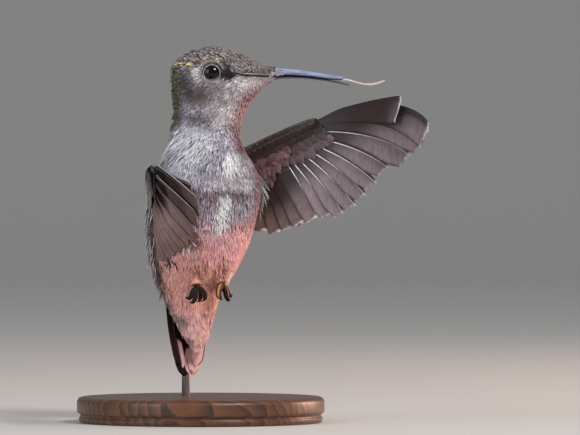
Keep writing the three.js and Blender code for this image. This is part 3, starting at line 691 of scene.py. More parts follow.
class HUMMINGBIRD_PG_parts(bpy.types.PropertyGroup):
    """Colours of the bare parts and the stand."""

    # the horn is black-grey; its slate is a painted sheen on the lit side
    bill: hue("Bill", "93a1c2", "Upper side of the bill, slate")
    bill_dark: hue("Bill dark", "121015", "Under side and edges of the bill")
    tongue: hue("Tongue", "dccdc8", "Tongue, pale")
    eye: hue("Eye", "040303", "Pupil")
    iris: hue("Iris", "0d0706", "Iris, nearly black brown")
    lid: hue("Eyelid", "b8b2b2", "Pale rim of the lids")
    toe: hue("Toe", "0b0707", "Toes and claws, near black")
    # painted warm rim light along the sides of the toes
    toe_edge: hue("Toe rim light", "e09a62", "Painted warm rim light along the sides of the toes")
    walnut: hue("Walnut", "3a2113", "Dark grain of the base")
    walnut_light: hue("Walnut light", "74492b", "Light grain of the base")
    steel: hue("Steel", "b4b6b8", "Rod of the stand")
    floor: hue("Floor", "d9d8d4", "Floor of the studio")


class HUMMINGBIRD_PG_sizes(bpy.types.PropertyGroup):
    """Sizes that set how fine the plumage is."""

    head_feather: size("Head feather", 1.5, "Length of a feather on the crown and throat")
    breast_feather: size("Breast tuft", 2.8, "Length of a tuft on the breast")
    back_feather: size("Back feather", 3.0, "Length of a feather on the back")
    quill_shaft: size("Quill shaft", 0.25, "Width of a flight feather's shaft at its root")
    vane_thickness: size("Vane thickness", 0.12, "Thickness of a flight feather at its shaft")
    seed: IntProperty(name="Seed", description="Starts the random differences between feathers", default=7,
                      min=0)


GROUPS = {"plumage": HUMMINGBIRD_PG_plumage, "quills": HUMMINGBIRD_PG_quills, "parts": HUMMINGBIRD_PG_parts,
          "sizes": HUMMINGBIRD_PG_sizes}


def settings(group):
    """One of the scene's groups of settings."""
    return getattr(bpy.context.scene, "hummingbird_" + group)


def colours(group):
    """A group's colours by name, as arrays."""
    chosen = settings(group)
    names = [key for key in GROUPS[group].__annotations__ if key != "seed"]
    return {key: np.array(getattr(chosen, key)) for key in names}


def draws(number):
    """A random generator for one piece, the same on every run."""
    return np.random.default_rng([settings("sizes").seed, number])


# ---------- markings ----------
def painted(shape, base, layers):
    """Colours laid over one another in order: each layer's tint replaces what is there by its mask."""
    colour = np.broadcast_to(base, shape).copy()
    for shade, mask in layers:
        colour += (shade - colour) * np.clip(mask, 0, 1)[..., None]
    return colour


# The lower edge of the scaled crown on the head's side, as x and z: nape, behind the eye, over it, bill.
BROW_X = [-6, -3.3, -1, 1, 4.2, 5, 6.7, 9.6, 13.7]
BROW_Z = [66.9, 68.0, 68.6, 69.2, 69.2, 68.4, 67.85, 67.4, 67.2]


def body_colour(points, t, turn):
    """The plumage's colour and its feathers' edge colour at points of the body, the same for the skin and
    the coat. Stations count from the bill to the tail, degrees from the breast's middle line, plus to the
    bird's left; on the head the markings stand at their x and z, alike on both sides."""
    c = colours("plumage")
    station, degrees = t * LAST_STATION, np.degrees(wrapped(turn))
    off, x, z = np.abs(degrees), points[..., 0], points[..., 2]
    head = 1 - smooth(station, 7.6, 9.2)
    over_brow = z - np.interp(x, BROW_X, BROW_Z)
    crown = head * smooth(over_brow, -0.3, 0.3) * smooth(off, 84, 94)
    nape = smooth(-x, 2.6, 4.6) * (1 - smooth(z, 68.2, 69.4)) * smooth(z, 55.6, 58.4) * smooth(off, 84, 116)
    # the mantle is narrow at the neck and wraps farther round lower down
    wider = smooth(station, 9, 12)
    mantle = smooth(off, lerp(128, 108, wider), lerp(142, 124, wider)) * smooth(station, 8.6, 10.2)
    fleck = smooth(np.sin(8.1 * x + 5 * z), -0.2, 0.5)
    # where the belly's painted warm salmon light lies, reaching higher up on the side towards +X
    low = smooth(station + 0.7 * smooth(degrees, -14, 36), 12.5, 14.1)

    def patch(turns, stations):
        """A patch of the body between two turns in degrees and two stations, each with how soft it ends."""
        return window(degrees, *turns) * window(station, *stations)

    def spot(centre, radii):
        """A soft spot on the side of the head."""
        return head * blob(points, centre, radii)

    def row_of_gold(height, start, end, soft):
        """A row of golden flecks along the crown's lower edge."""
        return crown * fleck * np.exp(-(((z - height) / 0.3) ** 2)) * window(x, start, end, soft)

    beside = patch((-156, -104, 12), (10.8, 16.0, 0.8))
    # painted warm light along the outline towards +X: a wide band on the throat, and a thin rim from the chin
    # to the tail coverts
    edge_on = np.abs(degrees - body_facing(t))
    painted_throat_light = (1 - smooth(edge_on, 20, 58)) * smooth(station, 0.6, 3.0) * (1 - smooth(station, 9.4, 10.6))
    rim_light_mask = (1 - smooth(edge_on, 3, 14)) * smooth(station, 0.8, 3.0) * (1 - smooth(station, 16.5, 18))
    colour = painted(points.shape, c["neck"], [
        (c["throat"], head),
        (c["flush"], painted_throat_light * 0.85),
        (c["ear"], smooth(-station, -9.6, -8.6) * blob(points, (-1.0, 58.4), (3.6, 1.5)) * 0.75),
        (c["white"], spot((4.0, 58.0), (1.5, 0.8)) * 0.7),
        (c["white"], spot((5.8, 60.2), (1.6, 1.2)) * 0.5),
        (c["flank"], smooth(degrees, 20, 44) * smooth(station, 10.4, 11.6) * 0.8),
        # painted warm light on the throat's side towards +X
        (c["flush"], patch((16, 60, 16), (7.6, 9.4, 0.8)) * 0.6),
        # shoulder and breast
        # painted light on the neck's side towards -X, over its own pale colour
        (c["white"], patch((-112, -52, 22), (9.6, 11.0, 0.7)) * 0.55),
        # painted highlight on the breast's middle line, over its own white
        (c["white"], patch((-9, 8, 8), (10.2, 11.1, 0.35))),
        (c["face"], patch((10, 30, 12), (10.6, 11.6, 0.4)) * 0.4),
        # painted warm light on the breast's outline towards +X
        (c["flush"], patch((32, 62, 14), (11.2, 13.4, 0.6)) * 0.5),
        (c["face"], patch((-24, 24, 14), (11.55, 11.85, 0.2)) * 0.7),
        (c["necklace"], patch((-60, 8, 18), (12.0, 12.3, 0.3)) * 0.75),
        (c["flank"], patch((-62, -28, 12), (12.3, 13.4, 0.4)) * 0.6),
        # belly: painted warm salmon light over its own whitish colour
        (c["belly"], low),
        (c["neck"], patch((-20, 30, 12), (12.5, 12.8, 0.25)) * 0.8),
        # painted highlight beside the breast's middle line, over its own white
        (c["white"], patch((-13, -6, 6), (12.35, 13.15, 0.35)) * 1.5),
        (c["flush"], patch((-46, -30, 5), (13.6, 13.8, 0.15)) * 0.9),
        (c["vent"], window(station, 14.9, 16.4, 0.8) * 0.8),
        # painted warm rim light along the outline towards +X, from the chin to the tail coverts
        (c["glow"], rim_light_mask * 0.55),
        (c["dusk"], smooth(-degrees, 74, 98) * window(station, 11.4, 16.2, 1.0) * 0.85),
        (c["dusk"], smooth(degrees, 88, 112) * window(station, 11.4, 16.2, 1.0) * 0.85),
        # the coverts under the tail, two of them with grey middles
        (c["under_tail"], smooth(station, 16.4, 17.6)),
        (c["smoke"], patch((-104, -62, 12), (16.9, 17.3, 0.25)) * 0.9),
        (c["smoke"], patch((-84, -44, 12), (17.9, 18.3, 0.25)) * 0.9),
        # the face
        (c["ear"], spot((-0.6, 63.4), (4.2, 2.2)) * 0.95),
        (c["ear"], spot((-2.9, 65.7), (2.0, 3.0)) * 1.1),
        (c["brow"], spot((2.4, 69.4), (3.6, 0.7)) * 1.2),
        (c["face"], spot((-0.1, 67.5), (0.9, 1.1)) * 2.0),
        (c["face"], spot((8.3, 65.6), (3.4, 1.0)) * 1.2),
        (c["face"], spot((5.4, 63.4), (2.4, 0.6)) * 0.3),
        (c["ear"], spot((2.9, 64.4), (1.6, 0.9)) * 0.5),
        (c["crown"], crown),
        (c["gold"], row_of_gold(70.15, -2.6, 4.0, 0.8) * 1.1),
        (c["gold"], row_of_gold(69.3, -4.6, -1.0, 0.6) * 1.1),
        (c["nape"], nape),
        (c["mantle"], mantle),
        (c["ear"], mantle * beside * 0.6),
        (c["lore"], spot((5.4, 67.3), (1.5, 1.0)) * 2.6),
        (c["lore"], spot((8.0, 67.3), (2.4, 0.3)) * 1.2),
    ])
    edge = painted(points.shape, colour * 1.5, [
        (c["crown_edge"], crown * (1 - 0.8 * blob(points, (2.4, 69.4), (3.6, 0.7)))),
        (c["nape_edge"], nape),
        (c["mantle_edge"], mantle),
        (c["face"], mantle * beside * 1.4),
        (colour * 0.6, head * (1 - np.maximum(crown, nape))),
    ])
    return colour, np.clip(edge, 0, 1)


def tones(rng, spread, count):
    """How light each feather is, most of them within a factor of e^spread of 1."""
    return np.exp(rng.normal(0, spread, count))[:, None]


# ---------- the coat ----------
# One row a piece: its beds, each between two stations and two turns round the body in degrees, the pitch of
# its rows and within a row, the length of a feather as a share of a size that the user sets, its half width,
# the strands that one root fans into and by how many degrees, how far tips stand off, how much length varies,
# how uneven the tones are, how ruffled its shaggy places are, its finish and its slot.
COATS = {
    "crown_coat": dict(
        beds=[(0.1, 3.4, 92, 268), (3.4, 9.2, 112, 248)], pitch=(0.5, 0.6), size="head_feather", length=0.95,
        half=0.38, stand=0.12, vary=0.12, tone=0.2, ruffle=0.5, finish="crown", slot="crown_feathers"),
    "face_coat": dict(
        beds=[(0.1, 3.4, 46, 95), (0.1, 3.4, -95, -46), (3.4, 9.4, 46, 116), (3.4, 9.4, -116, -46)],
        pitch=(0.48, 0.46), size="head_feather", length=1.25, half=0.13, strands=3, fan=11, stand=0.08,
        vary=0.16, tone=0.3, finish="strand", slot="throat_feathers"),
    "throat_coat": dict(
        beds=[(0.1, 9.8, -50, 50)], pitch=(0.6, 0.66), size="head_feather", length=1.05, half=0.42,
        stand=0.07, vary=0.1, tone=0.15, finish="throat", slot="throat_feathers"),
    "neck_coat": dict(
        beds=[(8.8, 11.6, -128, 128)], pitch=(0.8, 0.85), length=0.9, half=0.12, strands=5, fan=14,
        stand=0.12, vary=0.2, tone=0.34, finish="strand", slot="breast_feathers"),
    "breast_coat": dict(
        beds=[(11.2, 13.6, -118, 118)], pitch=(0.9, 1.0), length=0.95, half=0.14, strands=5, fan=14,
        stand=0.13, vary=0.2, tone=0.24, finish="strand", slot="breast_feathers"),
    "belly_coat": dict(
        beds=[(13.2, 16.7, -118, 118)], pitch=(1.0, 0.95), length=1.1, half=0.2, strands=5, fan=12,
        stand=0.05, vary=0.14, tone=0.07, finish="down", slot="breast_feathers"),
    "under_tail_coat": dict(
        beds=[(16.1, 18.75, -125, 125)], pitch=(0.9, 1.3), length=1.35, half=0.8, stand=0.05, vary=0.1,
        tone=0.05, finish="covert", slot="breast_feathers"),
    "back_coat": dict(
        beds=[(8.6, 18.2, 106, 254)], pitch=(1.1, 1.15), size="back_feather", length=1.0, half=0.75,
        stand=0.22, vary=0.16, tone=0.22, ruffle=0.9, finish="crown", slot="crown_feathers"),
}
# Loose plumes: station, turn in degrees, how far both spread, how many, length, sway from straight down the
# body in degrees and its spread, how far the tip stands off, half width, and tint.
PLUMES = [
    (11.5, 52, 0.5, 7, 16, 4.2, 34, 10, 1.5, 0.1, "white"),  # under the far wing
    (12.1, 56, 0.5, 5, 12, 3.6, 16, 10, 0.9, 0.12, "face"),
    (13.2, -108, 1.6, 16, 52, 3.2, -6, 24, 0.7, 0.12, "face"),  # the near flank
    (13.6, -104, 1.9, 18, 60, 2.6, 4, 24, 0.5, 0.2, "nape"),
    (14.3, -72, 0.3, 14, 22, 2.6, 30, 16, 0.5, 0.11, "under_tail"),
    (14.3, -70, 0.25, 12, 14, 2.2, 34, 16, 0.35, 0.13, "lore"),
    (13.9, -44, 0.3, 10, 14, 1.8, 20, 18, 0.3, 0.1, "face"),
    (13.45, -38, 0.14, 5, 12, 1.3, 10, 20, 0.25, 0.12, "flush"),
    (15.1, 30, 0.3, 7, 24, 2.8, -26, 12, 0.8, 0.12, "white"),  # over the far foot
    (15.6, -84, 0.4, 14, 18, 2.0, 8, 20, 0.4, 0.12, "under_tail"),
    (7.4, 176, 1.2, 10, 40, 1.5, 0, 24, 0.7, 0.16, "nape_edge"),  # the nape
    (12.3, -126, 1.2, 8, 46, 1.5, -4, 22, 0.4, 0.18, "face"),  # beside the near wing
    (14.5, -26, 0.3, 11, 60, 2.3, 0, 9, 1.9, 0.17, "thigh"),
    (14.6, 12, 0.3, 11, 60, 2.3, 0, 9, 1.8, 0.17, "thigh"),
]
LID_EDGE = 1.96  # how near to the eye's middle the head's feathers come
SHORTEST = 0.22  # length under which a feather is left out
BILL_ROOT_Z = 67.7  # height of the bill's middle where the feathers end
MOUTH_Z = 66.92  # height of the line of the mouth there
# The cone of feathers on the bill: its radius at places along X, and how much more it is under the chin.
CONE = [[10.5, 2.05], [11.5, 1.6], [12.2, 1.4], [13.2, 1.2], [14.2, 1.08], [16.5, 0.92]]
CHIN = [[11.5, 0.85], [12.2, 0.85], [13.2, 0.76], [14.2, 0.56], [15.2, 0.3], [16.4, 0.0]]
CONE_RINGS, CONE_SIDES = 12, 30


def coat_roots(bed, pitch, rng):
    """Roots in rows across a bed of the body: a row for each pitch of the way along its side, and in each
    row a root for each pitch of the way round, every other row half a step on. Both shrink to the face."""
    stations, turns = bed[:2], bed[2:]

    def fine(t):
        """How much smaller the feathers are towards the bill."""
        return lerp(0.42, 1.0, smooth(t * LAST_STATION, 0.3, 4.5))

    t = np.linspace(stations[0], stations[1], 600) / LAST_STATION
    paces = np.linalg.norm(np.diff(body_point(t, np.radians(np.mean(turns))), axis=0), axis=1)
    paces = np.maximum(paces, np.diff(t) * 30)
    rows = np.concatenate([[0], np.cumsum(paces / (pitch[0] * fine(t[1:])))])
    row_t = np.interp(np.arange(int(rows[-1]) + 1), rows, t)
    angle = np.radians(np.linspace(*turns, 60))
    girth = np.linalg.norm(np.diff(body_point(row_t[:, None], angle[None]), axis=1), axis=2).sum(axis=1)
    counts = np.maximum((girth / (pitch[1] * fine(row_t))).astype(int), 3)
    row = np.repeat(np.arange(len(row_t)), counts)
    column = np.arange(len(row)) - np.repeat(np.cumsum(counts) - counts, counts)
    share = (column + 0.25 + 0.5 * (row % 2) + rng.uniform(-0.22, 0.22, len(row))) / counts[row]
    root_t = row_t[row] + rng.uniform(-0.3, 0.3, len(row)) * np.gradient(row_t)[row]
    return root_t, np.radians(lerp(turns[0], turns[1], share)), fine(root_t)


def clear_of_eyes(t, turn, length, down):
    """How long a head feather may be without lying over the lids, nothing where its root is on them."""
    eye = np.array([EYE["x"], EYE["z"]])
    beside = np.abs(np.sin(turn)) > 0.5

    def over_lid(long):
        """Where a feather this long ends on the lids."""
        away = body_point(t + long / down, turn)[:, [0, 2]] - eye
        return beside & (np.linalg.norm(away, axis=1) < LID_EDGE)

    kept = np.where(over_lid(0 * length), 0.0, length)
    for share in (1.0, 0.75, 0.5, 0.3):
        kept = np.where(over_lid(kept), np.minimum(kept, length * share * 0.8), kept)
    return np.where(over_lid(kept), 0.0, kept)


def body_bed(t, turn, down, around):
    """How feathers lie on the body from their roots at t and turn: a steps down it and b steps round it."""
    t, turn, down, around = (each(x) for x in (t, turn, down, around))
    return lambda a, b, rise: body_point(t + a / down, turn + b / around, rise)


def body_patches(t, turn, rows, columns):
    """The patches of the body's feathers on the baked map, where their roots are on the skin's."""
    return patches(turn / TAU % 1.0, 0.02 + 0.78 * t, rows, columns)


def steps(long, angle):
    """Steps (n, 2) of some lengths in the directions of some angles."""
    return np.stack([long * np.cos(angle), long * np.sin(angle)], 1)


def lay_coat(stock, spec, length, rng):
    """Sows one coat: each root fans into its strands, which lie down the body from inside the skin to the
    plumage's surface, in the body's own t and turn."""
    strands = spec.get("strands", 1)
    tuft = strands > 1
    for beds in spec["beds"]:
        t, turn, fine = coat_roots(beds, spec["pitch"], rng)
        tuft_tone = rng.normal(0, spec["tone"] * 0.6, len(t))
        sway = np.radians(rng.normal(0, 7, len(t)))
        t, turn, fine, tuft_tone, sway = (np.repeat(x, strands) for x in (t, turn, fine, tuft_tone, sway))
        share = np.tile(np.linspace(-1, 1, strands) if tuft else [0.0], len(t) // strands)
        sway = sway + np.radians(share * spec.get("fan", 0)) + np.radians(rng.normal(0, 3, len(t)))
        down, around = body_scale(t, turn)
        turn = turn + share * spec["half"] * strands * 0.55 * fine / around
        # strands at the sides of a tuft are a little shorter, and none reaches past the last covert
        long = length * spec["length"] * fine * (1 - 0.16 * share**2)
        long = np.clip(long * (1 + rng.normal(0, spec["vary"], len(t))), 0.25, None)
        long = np.minimum(long, np.maximum((1.004 - t) * down, 0.0))
        long = clear_of_eyes(t, turn, long, down)
        t, turn, fine, down, around, sway, tuft_tone, long = (
            x[long > SHORTEST] for x in (t, turn, fine, down, around, sway, tuft_tone, long))
        count = len(t)
        depth = coat_depth(t)
        half = spec["half"] * fine * (1 + rng.normal(0, 0.12, count))
        # the plumage is shaggy down the back of the neck and beside the near wing
        off, station = np.degrees(np.abs(wrapped(turn))), t * LAST_STATION
        shaggy = np.maximum(smooth(off, 140, 165) * window(station, 5.0, 9.4, 0.8),
                            window(off, 98, 150, 12) * window(station, 12.4, 15.8, 0.8))
        stand = spec["stand"] * (0.4 + 0.6 * fine) * rng.uniform(0.1, 1.3, count)
        stand = stand + spec.get("ruffle", 0) * shaggy * rng.uniform(0, 1, count) ** 2
        rows, columns = (5, 3) if tuft else (7, 5)
        form = dict(point=0.35, taper=0.5, ragged=0.04) if tuft else dict(point=0.8, taper=0.7, ragged=0.1)
        bed = body_bed(t, turn, down, around)
        grids = lay_vanes(bed, np.zeros((count, 2)), steps(long, sway), half, half, lift=-depth * 0.95,
                          bow=rng.normal(0, 0.05, count) * long, bend=depth * 0.85 + stand, power=0.8,
                          narrow=0.5, round_from=0.6, camber=half * (0.22 if tuft else 0.16), thickness=0.05,
                          rows=rows, columns=columns, rng=rng, **form)
        middle = t + 0.6 * long / down
        colour, edge = body_colour(body_point(middle, turn), middle, turn)
        tone = np.exp(tuft_tone + rng.normal(0, spec["tone"] * 0.8, count))[:, None]
        stock.vanes(grids, np.clip(colour * tone, 0, 1), np.clip(edge * tone, 0, 1),
                    body_patches(t, turn, rows, columns))


def add_plumes(stock, rng):
    """Loose single strands that have slipped out of the coat, in tufts at a few places of the body."""
    plumage = colours("plumage")
    for station, degrees, along, around_by, count, long, sway, sway_by, stand, half, key in PLUMES:
        t = (station + rng.uniform(-along, along, count)) / LAST_STATION
        turn = np.radians(degrees + rng.uniform(-around_by, around_by, count))
        sway = np.radians(sway + rng.normal(0, sway_by, count))
        long = long * rng.uniform(0.7, 1.15, count)
        bed = body_bed(t, turn, *body_scale(t, turn))
        grids = lay_vanes(bed, np.zeros((count, 2)), steps(long, sway), half, half, lift=0.05,
                          bow=rng.normal(0.05, 0.06, count) * long, bend=stand * rng.uniform(0.5, 1.2, count),
                          power=1.3, narrow=0.6, point=0.2, taper=0.4, round_from=0.7, thickness=0.06, rows=9,
                          columns=3)
        tint = np.clip(plumage[key] * tones(rng, 0.15, count), 0, 1)
        stock.vanes(grids, tint, tint, body_patches(t, turn, 9, 3))


def add_bill_base(stock, length, rng):
    """The smallest feathers, which run out onto the bill: rings round it, on a cone that opens towards the
    head. They start farther forward under the bill than on top, and leave the line of the mouth."""
    count = CONE_RINGS * CONE_SIDES
    ring, around = grid_of(np.arange(CONE_RINGS), np.arange(CONE_SIDES) / CONE_SIDES)
    turn = TAU * (around + 0.5 / CONE_SIDES * (ring % 2)).ravel() + rng.normal(0, 0.05, count)
    below = 1 - smooth(np.abs(wrapped(turn)), 1.25, 1.8)
    x = lerp(14.5, 16.3, below) - ring.ravel() * 0.36 + rng.uniform(-0.12, 0.12, count)

    def radius(x, turn):
        """The cone's radius, more under the chin."""
        cone, chin = (np.interp(x, *np.transpose(rows)) for rows in (CONE, CHIN))
        return cone + np.clip(np.cos(turn), 0, 1) * chin

    z = BILL_ROOT_Z - radius(x, turn) * np.cos(turn)
    kept = (x > 12.2) & (np.abs(z - MOUTH_Z) > 0.17)
    x, turn, count = x[kept], turn[kept], kept.sum()

    def place(a, b, rise):
        """a runs back along the cone, b round it."""
        at = each(x) - a
        angle = each(turn) + b / each(radius(x, turn))
        out = radius(at, angle) + rise
        return np.stack([at, HEAD_PLANE + out * np.sin(angle), BILL_ROOT_Z - out * np.cos(angle)], -1)

    long = 0.5 * length * rng.uniform(0.8, 1.2, count)
    tip = np.stack([long, rng.normal(0, 0.08, count)], 1)
    grids = lay_vanes(place, np.zeros((count, 2)), tip, 0.16, 0.16, lift=-0.04, bend=0.12, point=0.6,
                      taper=0.5, round_from=0.6, camber=0.03, thickness=0.04, rows=6, columns=5)
    middle = place(each(long * 0.6), 0.0, 0.0)[:, 0, 0]
    colour, edge = body_colour(middle, np.full(count, 0.01), turn)
    tone = tones(rng, 0.2, count)
    stock.vanes(grids, np.clip(colour * tone, 0, 1), np.clip(edge * tone, 0, 1),
                patches(turn / TAU % 1.0, x / 20, 6, 5))


FINISHES = {}


def make_finishes():
    """Every finish of the bird and the stand, by name."""
    parts = colours("parts")
    firm = dict(barb_rows=60, slant=0.12)
    FINISHES.update(
        # small stiff feathers, each dark with a worn pale rim: scales of light and dark
        crown=feather_finish("Scaled feather", rim=0.85, barbs=0.22, barb_rows=12, root_shade=0.3,
                             roughness=0.5, gloss=0.5, mottle=0.25),
        # soft feathers with a faint dark rim: pale scallops
        throat=feather_finish("Throat feather", rim=0.45, barbs=0.2, barb_rows=10, root_shade=0.45,
                              sheen=0.3),
        # barbs that part into strands: bright streaks with dark gaps between them
        strand=feather_finish("Stranded feather", barbs=0.1, barb_rows=5, slant=0.0, root_shade=0.25,
                              sheen=0.35, mottle=0.16),
        # down-like plumage, smooth and matt
        down=feather_finish("Downy feather", barbs=0.08, barb_rows=6, slant=0.0, root_shade=0.7, sheen=0.4),
        # long soft coverts, smooth with a paler edge
        covert=feather_finish("Tail covert", rim=0.35, barbs=0.12, barb_rows=20, root_shade=0.75, sheen=0.35),
        # firm flight feathers: barbs in slanting lines, satin
        quill=feather_finish("Flight feather", barbs=0.13, root_shade=0.55, roughness=0.45, gloss=0.45,
                             sheen=0.15, **firm),
        # the closed wing's feathers, smoky and without gloss
        smoky=feather_finish("Folded feather", barbs=0.12, root_shade=0.75, roughness=0.7, gloss=0.03,
                             sheen=0.0, mottle=0.16, **firm),
        # dark tail feathers, a little glossy
        rectrix=feather_finish("Tail feather", barbs=0.13, root_shade=0.55, roughness=0.5, gloss=0.15,
                               sheen=0.0, **firm),
        # the shaft's bare keratin, smooth and pale
        shaft=horn_finish("Feather shaft", roughness=0.3, streak=0.12),
        # the bill's horn: streaks over black-grey with a painted slate sheen, satin from use
        bill=horn_finish("Bill horn", roughness=0.33, streak=0.3, ribs=0.25),
        # the tongue, wet and nearly smooth
        tongue=horn_finish("Tongue", roughness=0.2, streak=0.15, ribs=0.1, coat=0.5),
        # bare skin of the lids, fine-wrinkled and dull
        lid=horn_finish("Eyelid skin", roughness=0.6, streak=0.2, ribs=0.6, stretch=(2500.0,) * 3),
        # hard dark scales of the toes, with a painted warm rim light along their sides
        toe=horn_finish("Toe scale", roughness=0.5, streak=0.3, ribs=0.2, stretch=(1800.0,) * 3, gloss=0.25),
        eye=eye_finish("Eye"),
        walnut=walnut_finish("Oiled walnut", parts["walnut"], parts["walnut_light"]),
        steel=steel_finish("Brushed stainless steel", parts["steel"]),
        paper=paper_finish("Matt paper", parts["floor"]),
    )


class HUMMINGBIRD_OT_skin(bpy.types.Operator):
    """The skin under the plumage: head, neck, body, arms and shanks. It lies inside the feathers by the
    coat's depth and carries their markings, darker"""

    bl_idname = "hummingbird.skin"
    bl_label = "Skin"

    def execute(self, context):
        stock = Stock()
        t, turn = grid_of(np.linspace(0, 0.995, 300), circle(160))
        colour, edge = body_colour(body_point(t, turn), t, turn)
        dim = lerp(0.7, 0.92, smooth(t, 0.68, 0.74))[..., None]
        stock.shell(body_point(t, turn, -coat_depth(t)), colour * dim, edge * 0.6, (0, 0.02, 1, 0.78 * 0.995))
        lining = colours("quills")["lining"] * 0.6
        for k, wing in enumerate(WINGS.values()):
            # the arm, a little inside the solid's and rounded off at the finger
            share, turn = grid_of(np.linspace(0, 1, 60), circle(28))
            row = curve_through(ARM, share)
            row[..., 2:] *= np.sqrt(1 - smooth(share, 0.9, 1.0) * 0.98)[..., None]
            arm = wing_point(wing, row[..., 0], row[..., 1] + 0.93 * row[..., 2] * np.cos(turn),
                             0.85 * row[..., 3] * np.sin(turn))
            stock.shell(arm, lining, None, (0.25 * k, 0.82, 0.24, 0.16))
            # the shoulder, from inside the body into the arm
            inner = body_point(11 / LAST_STATION, wing["side"] * math.pi / 2, -5.0)
            line = [[*inner, 3.0], [*wing_point(wing, -0.3, 3.0, 0), 2.5],
                    [*wing_point(wing, 3, 2.2, 0), 1.7]]
            stock.shell(tube(line, 24, 20), lining, None, (0.5 + 0.125 * k, 0.82, 0.12, 0.16))
        for k, leg in enumerate(LEGS.values()):
            stock.shell(tube(shank_rows(leg, -0.45), 20, 24), colours("plumage")["vent"] * 0.5, None,
                        (0.75 + 0.125 * k, 0.82, 0.12, 0.16))
        stock.write("skin", "breast_feathers", "down", "head", "neck", "torso", "leg_left", "leg_right")
        return {"FINISHED"}


def shank_rows(leg, grown=0.0):
    """The feathered shank's centres and radii, from inside the belly to the bare ankle."""
    rows = [((4.0, 0, 2.6), 1.8), ((6.0, 0, 1.7), 1.75), ((7.4, 0, 0.6), 1.45), ((8.05, 0, -0.6), 1.0)]
    return [[*leg_point(leg, *place), max(radius + grown, 0.2)] for place, radius in rows]


class HUMMINGBIRD_OT_coats(bpy.types.Operator):
    """The small feathers of head and body, sown in rows and laid like tiles from the bill to the tail"""

    bl_idname = "hummingbird.coats"
    bl_label = "Head and Body Feathers"

    def execute(self, context):
        sizes = settings("sizes")
        for number, (name, spec) in enumerate(COATS.items()):
            stock = Stock()
            length = getattr(sizes, spec.get("size", "breast_feather")) / MM
            lay_coat(stock, spec, length, draws(100 + number))
            stock.write(name, spec["slot"], spec["finish"])
        stock = Stock()
        add_bill_base(stock, sizes.head_feather / MM, draws(151))
        stock.write("bill_base_feathers", "crown_feathers", "crown")
        stock = Stock()
        add_plumes(stock, draws(150))
        stock.write("loose_plumes", "breast_feathers", "down")
        return {"FINISHED"}


# ---------- head parts ----------
def add_ring(stock, grid, colour):
    """A closed ring: sections that meet the first one again, both ways round."""
    faces, maps = grid_faces(*grid.shape[:2], rows_meet=True)
    tint = np.broadcast_to(colour, grid.shape).reshape(-1, 3)
    stock.add(grid.reshape(-1, 3), faces, tint, tint, maps, maps)


def add_lashes(stock, centre, side, plumage, rng):
    """Two rows of tiny feathers that point away from the eye, laid from the lids over the coat's edge."""
    for radius, count, long, tone in ((1.98, 50, 0.34, 0.3), (2.1, 56, 0.5, 0.55)):
        angle = circle(count) + rng.normal(0, 0.03, count)
        start = steps(radius, angle)
        tip = steps(radius + long * rng.uniform(0.8, 1.2, count), angle) - np.array([0.12, 0.05])

        def place(a, b, rise):
            """a is forwards and b up from the eye's middle, on a surface that bulges round the lids."""
            level = 2.0 - 0.12 * (np.sqrt(a**2 + b**2) - 1.7) ** 2 + rise
            return np.stack([centre[0] + a, centre[1] + side * level, centre[2] + b], -1)

        grids = lay_vanes(place, start, tip, 0.1, 0.1, lift=0.02, bend=0.18, point=0.4, taper=0.5,
                          round_from=0.6, thickness=0.05, rows=5, columns=3)
        tint = plumage["face"] * (tones(rng, 0.12, count) * tone)
        bake = patches(0.5 + 0.35 * np.cos(angle) * side, 0.5 + 0.35 * np.sin(angle), 5, 3)
        stock.vanes(grids, tint, tint, bake)


class HUMMINGBIRD_OT_eyes(bpy.types.Operator):
    """The eyeballs with their lids, and the ring of tiny pale feathers round them"""

    bl_idname = "hummingbird.eyes"
    bl_label = "Eyes and Lids"

    def execute(self, context):
        parts, plumage = colours("parts"), colours("plumage")
        lids, ring = Stock(), Stock()
        for name, side in (("left", 1), ("right", -1)):
            centre = np.array([EYE["x"], HEAD_PLANE + side * EYE["half_span"], EYE["z"]])
            # a ball swept by its angle from the outer pole, with the cornea swelling in the middle
            swing, turn = grid_of(np.linspace(0.004, math.pi - 0.01, 60), circle(64))
            radius = EYE["radius"] * (1 + 0.02 * np.exp(-(swing / 0.45) ** 2))
            ball = np.stack([radius * np.sin(swing) * np.cos(turn), side * radius * np.cos(swing),
                             radius * np.sin(swing) * np.sin(turn)], -1) + centre
            iris = smooth(swing, 0.40, 0.44)[..., None]
            dark, light = (lerp(parts["eye"], parts["iris"] * tone, iris) for tone in (1.0, 1.6))
            stock = Stock()
            stock.shell(ball, dark, light)
            stock.write("eyeball_" + name, "eye", "eye", "eye_" + name)
            # lids: a ring whose section has an inner rim on the ball and two folds outside it
            section, turn = grid_of(circle(26), circle(90))
            reach, front = np.cos(section), np.sin(section) > 0
            out = (EYE["opening"] + 0.26 + 0.36 * reach) * (1 + 0.03 * np.cos(2 * turn) * (1 - reach))
            folds = 0.05 * np.cos(2.5 * math.pi * reach) * front
            wrinkles = 0.015 * np.sin(23 * turn) * front
            deep = np.sqrt(EYE["radius"] ** 2 - np.minimum(out, 2.3) ** 2)
            level = deep + 0.08 + 0.1 * np.sin(section) + folds + wrinkles
            lid = np.stack([out * np.cos(turn), side * level, out * np.sin(turn)], -1) + centre
            # a pale rim on the ball, a dark groove outside it, then the grey skin of the lid
            rim = (window(out, 1.54, 1.62, 0.04) + 0.55 * window(out, 1.86, 1.97, 0.05))[..., None]
            rim = lerp(parts["lid"] * 0.03, parts["lid"], np.clip(rim, 0, 1))
            add_ring(lids, lid, rim)
            add_lashes(ring, centre, side, plumage, draws(side + 5))
        lids.write("eyelids", "crown_feathers", "lid")
        ring.write("eye_ring_feathers", "crown_feathers", "down")
        return {"FINISHED"}


